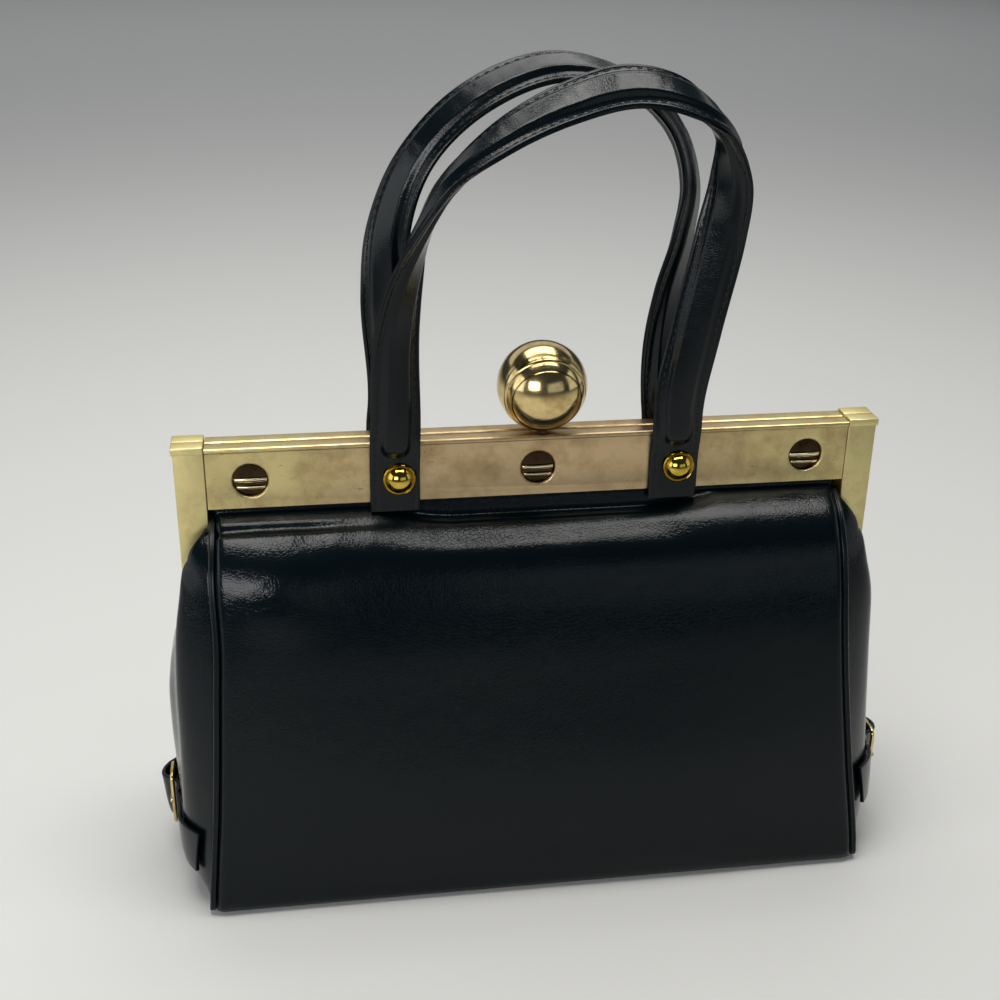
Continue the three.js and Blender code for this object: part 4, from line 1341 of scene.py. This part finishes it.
@dataclass
class Handle(Assembly):
    """A strap handle: two leathers over a padded core, edge-painted, with a stitched flange on each side."""

    face: Face
    rows: list[StrapRow]
    width: float = 18.5
    flange: float = 2.4
    padding: float = 1.6
    pad_edge: float = 0.68
    pad_shoulder: float = 0.3
    pad_foot: float = 21.5
    pad_end: float = 5.5
    stitch_row: float = 0.78
    stitch_pitch: float = 3.4
    stitch_length: float = 2.5
    stitch_width: float = 0.85
    stitch_sink: float = 0.1
    groove: float = 0.35
    edge_notch: float = 0.4
    wrinkle: float = 0.13
    wrinkle_cell: tuple[float, float] = (2.6, 1.3)
    wrinkle_start: tuple[float, float] = (90.0, 140.0)
    wrinkle_layer: float = 9.0
    pad_slope: float = 4.0
    pad_crown: float = 0.2
    groove_spread: float = 0.06
    edge_turn: float = 0.55
    edge_start: float = 0.92
    stitch_margin: float = 4.0
    face_points: int = 40
    edge_points: int = 4
    steps: int = 260

    def __post_init__(self) -> None:
        """Draws the strap's lines through its rows."""
        centres = [row.centre for row in self.rows]
        self.centre = Spline(centres)
        self.edge = Spline([Vector(row.edge).normalized() for row in self.rows], self.centre.knots)
        self.pad = Spline([(row.pad, 0.0) for row in self.rows], self.centre.knots)
        self.length = self.centre.knots[-1]

    def build(self) -> None:
        """Makes the strap and its stitching."""
        name = self.face.name.lower()
        around = 2 * (self.face_points + self.edge_points)
        bm = closed_tube(lofted(around, self.steps, self.point))
        strap = self.place(f"handle_strap_{name}", bm, STRAP_CLOTH, Slot.LEATHER, f"handle_{name}")
        self.crisp(strap, 60.0)
        self.place(f"handle_stitches_{name}", self.stitches(), THREAD, Slot.LEATHER)

    def basis(self, place: float) -> tuple[Vector, Vector, Vector, Vector]:
        """Middle, tangent, way to the edge and way out of one face, at a length along the strap."""
        centre = self.centre.at(place)
        tangent = (self.centre.at(place + 0.5) - self.centre.at(place - 0.5)).normalized()
        edge = self.edge.at(place)
        edge = (edge - tangent * edge.dot(tangent)).normalized()
        return centre, tangent, edge, tangent.cross(edge)

    def rise(self, place: float, across: float, layer: float) -> float:
        """Height of a face over the strap's middle layer.

        Args:
            place: Length along the strap.
            across: Place across it, from -1 to 1.
            layer: 1 for the face that looks outward at the feet, -1 for the other.

        Returns:
            The height.
        """
        spread, foot = abs(across), min(place, self.length - place)
        short = clamp((self.pad_foot + self.pad_end - foot) / self.pad_end)
        reach = self.pad_edge * math.sqrt(1.0 - short ** 2)
        raised = clamp(self.pad.at(place).x)
        if layer > 0:
            raised = smooth(self.pad_foot, self.pad_foot + self.pad_slope, foot)
        bulge = smooth(reach, reach - self.pad_shoulder, spread)
        bulge *= 1.0 + self.pad_crown * (1.0 - spread ** 2)
        long, wide = self.wrinkle_cell
        crease = noise.noise(Vector((place / long, across * wide, layer * self.wrinkle_layer)))
        crease *= smooth(*self.wrinkle_start, foot)
        seam = self.groove * bell(spread, self.stitch_row, self.groove_spread)
        edge = self.edge_turn * smooth(self.edge_start, 1.0, spread)
        return self.flange / 2 + self.padding * raised * bulge + self.wrinkle * crease * bulge - seam - edge

    def section(self, share: float) -> tuple[float, float]:
        """Place across, and which face: 1, -1, or between them on the edges, for a share of the way round."""
        count, turn = self.face_points, self.edge_points
        step = share * 2 * (count + turn)
        if step <= count:
            return lerp(-1.0, 1.0, step / count), 1.0
        if step <= count + turn:
            return 1.0, lerp(1.0, -1.0, (step - count) / turn)
        if step <= 2 * count + turn:
            return lerp(1.0, -1.0, (step - count - turn) / count), -1.0
        return -1.0, lerp(-1.0, 1.0, (step - 2 * count - turn) / turn)

    def point(self, around: float, along: float) -> Vector:
        """The strap's surface."""
        place = self.length * (along + 1.0) / 2
        centre, _, edge, out = self.basis(place)
        across, layer = self.section((around + 1.0) / 2)
        notch = self.edge_notch * (1.0 - abs(layer)) if abs(across) == 1.0 else 0.0
        reach = across * (self.width / 2 - notch)
        return centre + edge * reach + out * (layer * self.rise(place, across, layer))

    def stitches(self) -> Mesh:
        """Rows of stitches along both flanges, on both faces."""
        bm = bmesh.new()
        half = self.stitch_width / 2
        size = Matrix.Diagonal((self.stitch_length / 2, half, half, 1.0))
        count = int((self.length - 2 * self.stitch_margin) / self.stitch_pitch)
        for i in range(count):
            place = self.stitch_margin + (i + 0.5) * self.stitch_pitch
            centre, tangent, edge, out = self.basis(place)
            for across in (-self.stitch_row, self.stitch_row):
                for layer in (1, -1):
                    lift = layer * (self.rise(place, across, layer) - self.stitch_sink)
                    spot = centre + edge * (across * self.width / 2) + out * lift
                    lay = axes(tangent, edge, out, spot)
                    bmesh.ops.create_uvsphere(bm, u_segments=6, v_segments=5, radius=1.0, matrix=lay @ size)
        return bm


class BeltRow(NamedTuple):
    """A row of a belt: distance back from the middle of the side, and lift off the gusset."""

    back: float
    lift: float


class BeltPlace(NamedTuple):
    """Where a belt sits: height of its middle and of the buckle's, and how far back its fold lies."""

    height: float
    buckle: float
    back: float


BELT_PLACES = {Side.LEFT: BeltPlace(24.0, 25.6, 0.0), Side.RIGHT: BeltPlace(30.5, 31.0, -13.0)}


@dataclass
class SideBelt(Assembly):
    """A small belt low on one side wall: a tab from the front seam, a strap from the back, and a buckle."""

    shape: BagShape
    side: Side
    width: float = 17.5
    thickness: float = 1.6
    lift: float = 0.8
    buckle_height: float = 24.0
    buckle_width: float = 13.0
    buckle_back: float = -0.5
    buckle_lift: float = 4.3
    buckle_corner: float = 2.6
    wire: float = 0.85
    columns: int = 14
    steps: int = 64
    tab_start: float = -38.0
    tab_end: float = -10.5
    strap_start: float = 36.0
    flat_margin: float = 3.0
    edge_round: float = 0.35
    corner_steps: int = 6
    wire_sides: int = 10
    prong_outs: tuple[float, float] = (0.2, 1.5)
    prong_reach: float = 4.4
    prong_half: float = 0.7
    prong_round: float = 0.45
    fold: tuple[BeltRow, ...] = (
        BeltRow(20.0, 0.9), BeltRow(14.0, 1.8), BeltRow(9.8, 5.4), BeltRow(6.7, 7.0), BeltRow(3.6, 7.0),
        BeltRow(0.6, 4.2), BeltRow(-2.2, 1.6), BeltRow(-4.6, 0.8), BeltRow(-8.5, 0.8),
    )

    def __post_init__(self) -> None:
        """Looks up the belt's place and draws its rows."""
        self.spot = BELT_PLACES[self.side]
        shares = (0.0, 0.25, 0.5, 0.75, 1.0)
        tab_end = self.tab_end + self.spot.back
        strap_end = self.fold[0].back + self.spot.back + self.flat_margin
        self.tab_rows = [BeltRow(lerp(self.tab_start, tab_end, share), self.lift) for share in shares]
        flat = [BeltRow(lerp(self.strap_start, strap_end, share), self.lift) for share in shares]
        self.strap_rows = flat + [BeltRow(row.back + self.spot.back, row.lift) for row in self.fold]

    def build(self) -> None:
        """Makes tab, strap and buckle."""
        name = self.side.name.lower()
        for label, rows in (("tab", self.tab_rows), ("strap", self.strap_rows)):
            bm = self.band(rows)
            node = f"belt_{label}_{name}"
            self.crisp(self.place(f"{node}_cloth", bm, STRAP_CLOTH, Slot.LEATHER, node), 60.0)
        buckle = gathered(self.ring(), self.prong())
        self.place(f"belt_buckle_{name}", buckle, POLISHED, Slot.POLISHED, f"buckle_{name}")

    def normal(self, back: float, height: float) -> Vector:
        """The way out of the gusset at a place."""
        at = self.shape.gusset_point
        along = at(self.side, back + 1.0, height) - at(self.side, back - 1.0, height)
        up = at(self.side, back, height + 1.0) - at(self.side, back, height - 1.0)
        return along.cross(up).normalized() * self.side.value

    def band(self, rows: Sequence[BeltRow]) -> Mesh:
        """A strip of leather along some rows, with its thickness and softened edges."""
        line = Spline(rows)

        def place(across: float, along: float) -> Vector:
            """The strip's inner face."""
            back, lift = line.at(line.knots[-1] * (along + 1.0) / 2)
            height = self.spot.height + across * self.width / 2
            spot = self.shape.gusset_point(self.side, back, height)
            return spot + self.normal(back, height) * lift

        bm = facing_out(lofted(self.columns, self.steps, place), self.shape.core)
        drawn = bmesh.ops.extrude_face_region(bm, geom=bm.faces[:], use_keep_orig=True)["geom"]
        bm.normal_update()
        outer = [item for item in drawn if isinstance(item, bmesh.types.BMVert)]
        moves = [(vert, vert.normal * self.thickness) for vert in outer]
        for vert, move in moves:
            vert.co += move
        bmesh.ops.recalc_face_normals(bm, faces=bm.faces[:])
        round_edges(bm, sharp_edges(bm, 60.0), self.edge_round, 2)
        return bm

    def seat(self) -> Vector:
        """The middle of the buckle's wire."""
        back = self.buckle_back + self.spot.back
        on_wall = self.shape.gusset_point(self.side, back, self.spot.buckle)
        return on_wall + Vector((self.side.value * self.buckle_lift, 0.0, 0.0))

    def ring(self) -> Mesh:
        """The buckle's wire, swept round a rectangle with rounded corners."""
        half_width, half_height, corner = self.buckle_width / 2, self.buckle_height / 2, self.buckle_corner
        outline = []
        for sx, sz, start in ((1, 1, 0), (-1, 1, 90), (-1, -1, 180), (1, -1, 270)):
            for i in range(self.corner_steps + 1):
                angle = math.radians(start + 90 * i / self.corner_steps)
                outline.append((
                    sx * (half_width - corner) + corner * math.cos(angle) - sx * self.wire,
                    sz * (half_height - corner) + corner * math.sin(angle) - sz * self.wire,
                ))
        seat, count = self.seat(), len(outline)

        def place(across: float, along: float) -> Vector:
            """The wire's surface."""
            i = round((along + 1.0) / 2 * count) % count
            (x0, z0), (x1, z1) = outline[i - 1], outline[(i + 1) % count]
            tangent = Vector((0.0, x1 - x0, z1 - z0)).normalized()
            out = Vector((self.side.value, 0.0, 0.0))
            inward = tangent.cross(out)
            middle = seat + Vector((0.0, outline[i][0], outline[i][1]))
            angle = math.pi * across
            return middle + (out * math.cos(angle) + inward * math.sin(angle)) * self.wire

        bm = lofted(self.wire_sides, count, place)
        bmesh.ops.remove_doubles(bm, verts=bm.verts[:], dist=1e-3)
        bmesh.ops.recalc_face_normals(bm, faces=bm.faces[:])
        return bm

    def prong(self) -> Mesh:
        """The prong, resting on the front of the ring."""
        seat = self.seat()
        front = seat.y - self.buckle_width / 2
        near, far = (seat.x + self.side.value * out for out in self.prong_outs)
        low = (near, front, seat.z - self.prong_half)
        high = (far, front + self.prong_reach, seat.z + self.prong_half)
        return block(low, high, self.prong_round)


@dataclass
class HiddenPins:
    """The hinge pins inside the frame legs, which stay as solids."""

    nodes: tuple[str, ...] = ("hinge_pin_left", "hinge_pin_right")

    def dress(self) -> None:
        """Gives the pins the frame's finish."""
        for name in self.nodes:
            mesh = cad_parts[name].data
            mesh.materials.clear()
            mesh.materials.append(PLATE.material())
            LOG.info("%s: dressed", name)


# Studio


class Lamp(NamedTuple):
    """A soft lamp: where it stands, where it points, its width and height, its radiance and its colour."""

    name: str
    at: tuple[float, float, float]
    aim: tuple[float, float, float]
    size: tuple[float, float]
    radiance: float
    colour: str


@dataclass
class Studio:
    """Pale floor, soft lamps and the camera."""

    floor_half: float = 6.0
    paper: StudioPaper = StudioPaper("seamless_studio_paper")
    world: str = "#34383d"
    lens: float = 51.294
    camera_at: tuple[float, float, float] = (-88.449, -489.851, 376.349)
    yaw: float = 0.154
    pitch: float = 0.431
    roll: float = 0.015
    lamps: tuple[Lamp, ...] = (
        Lamp("top_left", (-0.25, -0.05, 1.1), (-0.25, -0.05, 0.0), (0.42, 0.42), 9.5, "#fffdf8"),
        Lamp("top_right", (0.28, -0.05, 1.1), (0.28, -0.05, 0.0), (0.48, 0.42), 8.0, "#fffdf8"),
        Lamp("top_back", (0.0, 0.6, 1.15), (0.0, 0.6, 0.0), (1.0, 0.6), 3.6, "#fffefb"),
        Lamp("back_sky", (0.0, 3.0, 1.25), (0.0, 3.0, 0.0), (4.5, 3.2), 0.6, "#fdfdff"),
        Lamp("left_wall", (-1.4, -0.1, 0.55), (0.0, -0.1, 0.45), (1.6, 0.9), 1.6, "#fafcff"),
        Lamp("right_wall", (1.4, 0.1, 0.55), (0.0, 0.1, 0.45), (1.6, 0.9), 0.7, "#fafcff"),
        Lamp("front_left", (-0.4, -0.68, 0.42), (-0.1, 0.0, 0.13), (0.36, 0.26), 8.5, "#fdfdff"),
        Lamp("front_wall", (1.15, -2.4, 0.75), (0.0, 0.0, 0.6), (2.0, 1.0), 0.6, "#eef6ff"),
    )

    def build(self) -> None:
        """Sets up floor, light and camera."""
        self.floor()
        self.light()
        self.camera()

    def floor(self) -> None:
        """A wide flat floor at the bag's feet."""
        bm = bmesh.new()
        bmesh.ops.create_grid(bm, x_segments=8, y_segments=8, size=self.floor_half)
        mesh = bpy.data.meshes.new("floor")
        bm.to_mesh(mesh)
        bm.free()
        mesh.materials.append(self.paper.material())
        ground = bpy.data.objects.new("floor", mesh)
        bpy.context.scene.collection.objects.link(ground)

    def light(self) -> None:
        """Soft lamps and a dim room, shown without a film curve."""
        bpy.context.scene.view_settings.view_transform = "Standard"
        world = bpy.data.worlds.new("room")
        bpy.context.scene.world = world
        world.use_nodes = True
        world.node_tree.nodes["Background"].inputs["Color"].default_value = hex_colour(self.world)
        for lamp in self.lamps:
            data = bpy.data.lights.new(lamp.name, "AREA")
            data.shape = "RECTANGLE"
            data.size, data.size_y = lamp.size
            data.energy = lamp.radiance * math.pi * lamp.size[0] * lamp.size[1]
            data.color = hex_colour(lamp.colour)[:3]
            stand = bpy.data.objects.new(lamp.name, data)
            stand.visible_camera = False
            bpy.context.scene.collection.objects.link(stand)
            stand.location = lamp.at
            stand.rotation_euler = (Vector(lamp.aim) - Vector(lamp.at)).to_track_quat("-Z", "Y").to_euler()

    def camera(self) -> None:
        """The camera at the photograph's angle."""
        level = Vector((math.cos(self.yaw), -math.sin(self.yaw), 0.0))
        ahead = Vector((
            math.sin(self.yaw) * math.cos(self.pitch),
            math.cos(self.yaw) * math.cos(self.pitch),
            -math.sin(self.pitch),
        ))
        upright = level.cross(ahead)
        right = level * math.cos(self.roll) + upright * math.sin(self.roll)
        up = upright * math.cos(self.roll) - level * math.sin(self.roll)
        data = bpy.data.cameras.new("camera")
        data.lens = self.lens
        data.sensor_width = 36.0
        data.clip_start = 0.01
        camera = bpy.data.objects.new("camera", data)
        bpy.context.scene.collection.objects.link(camera)
        camera.matrix_world = axes(right, up, -ahead, Vector(self.camera_at) * MM)
        bpy.context.scene.camera = camera


def main() -> None:
    """Builds the bag piece by piece, then the studio."""
    logging.basicConfig(level=logging.INFO, format="%(message)s")
    shape = BagShape()
    Studio().build()
    BodyPanel(shape).build()
    for side in Side:
        Gusset(shape, side).build()
        Piping(shape, side).build()
        SideBelt(shape, side).build()
    for face, rows in ((Face.FRONT, FRONT_HANDLE_ROWS), (Face.BACK, BACK_HANDLE_ROWS)):
        FrameHalf(face).build()
        FrameScrews(face).build()
        Handle(face, rows).build()
        for side in Side:
            HandleRivet(face, side).build()
    BallClasp().build()
    HiddenPins().dress()


if __name__ == "__main__":
    main()
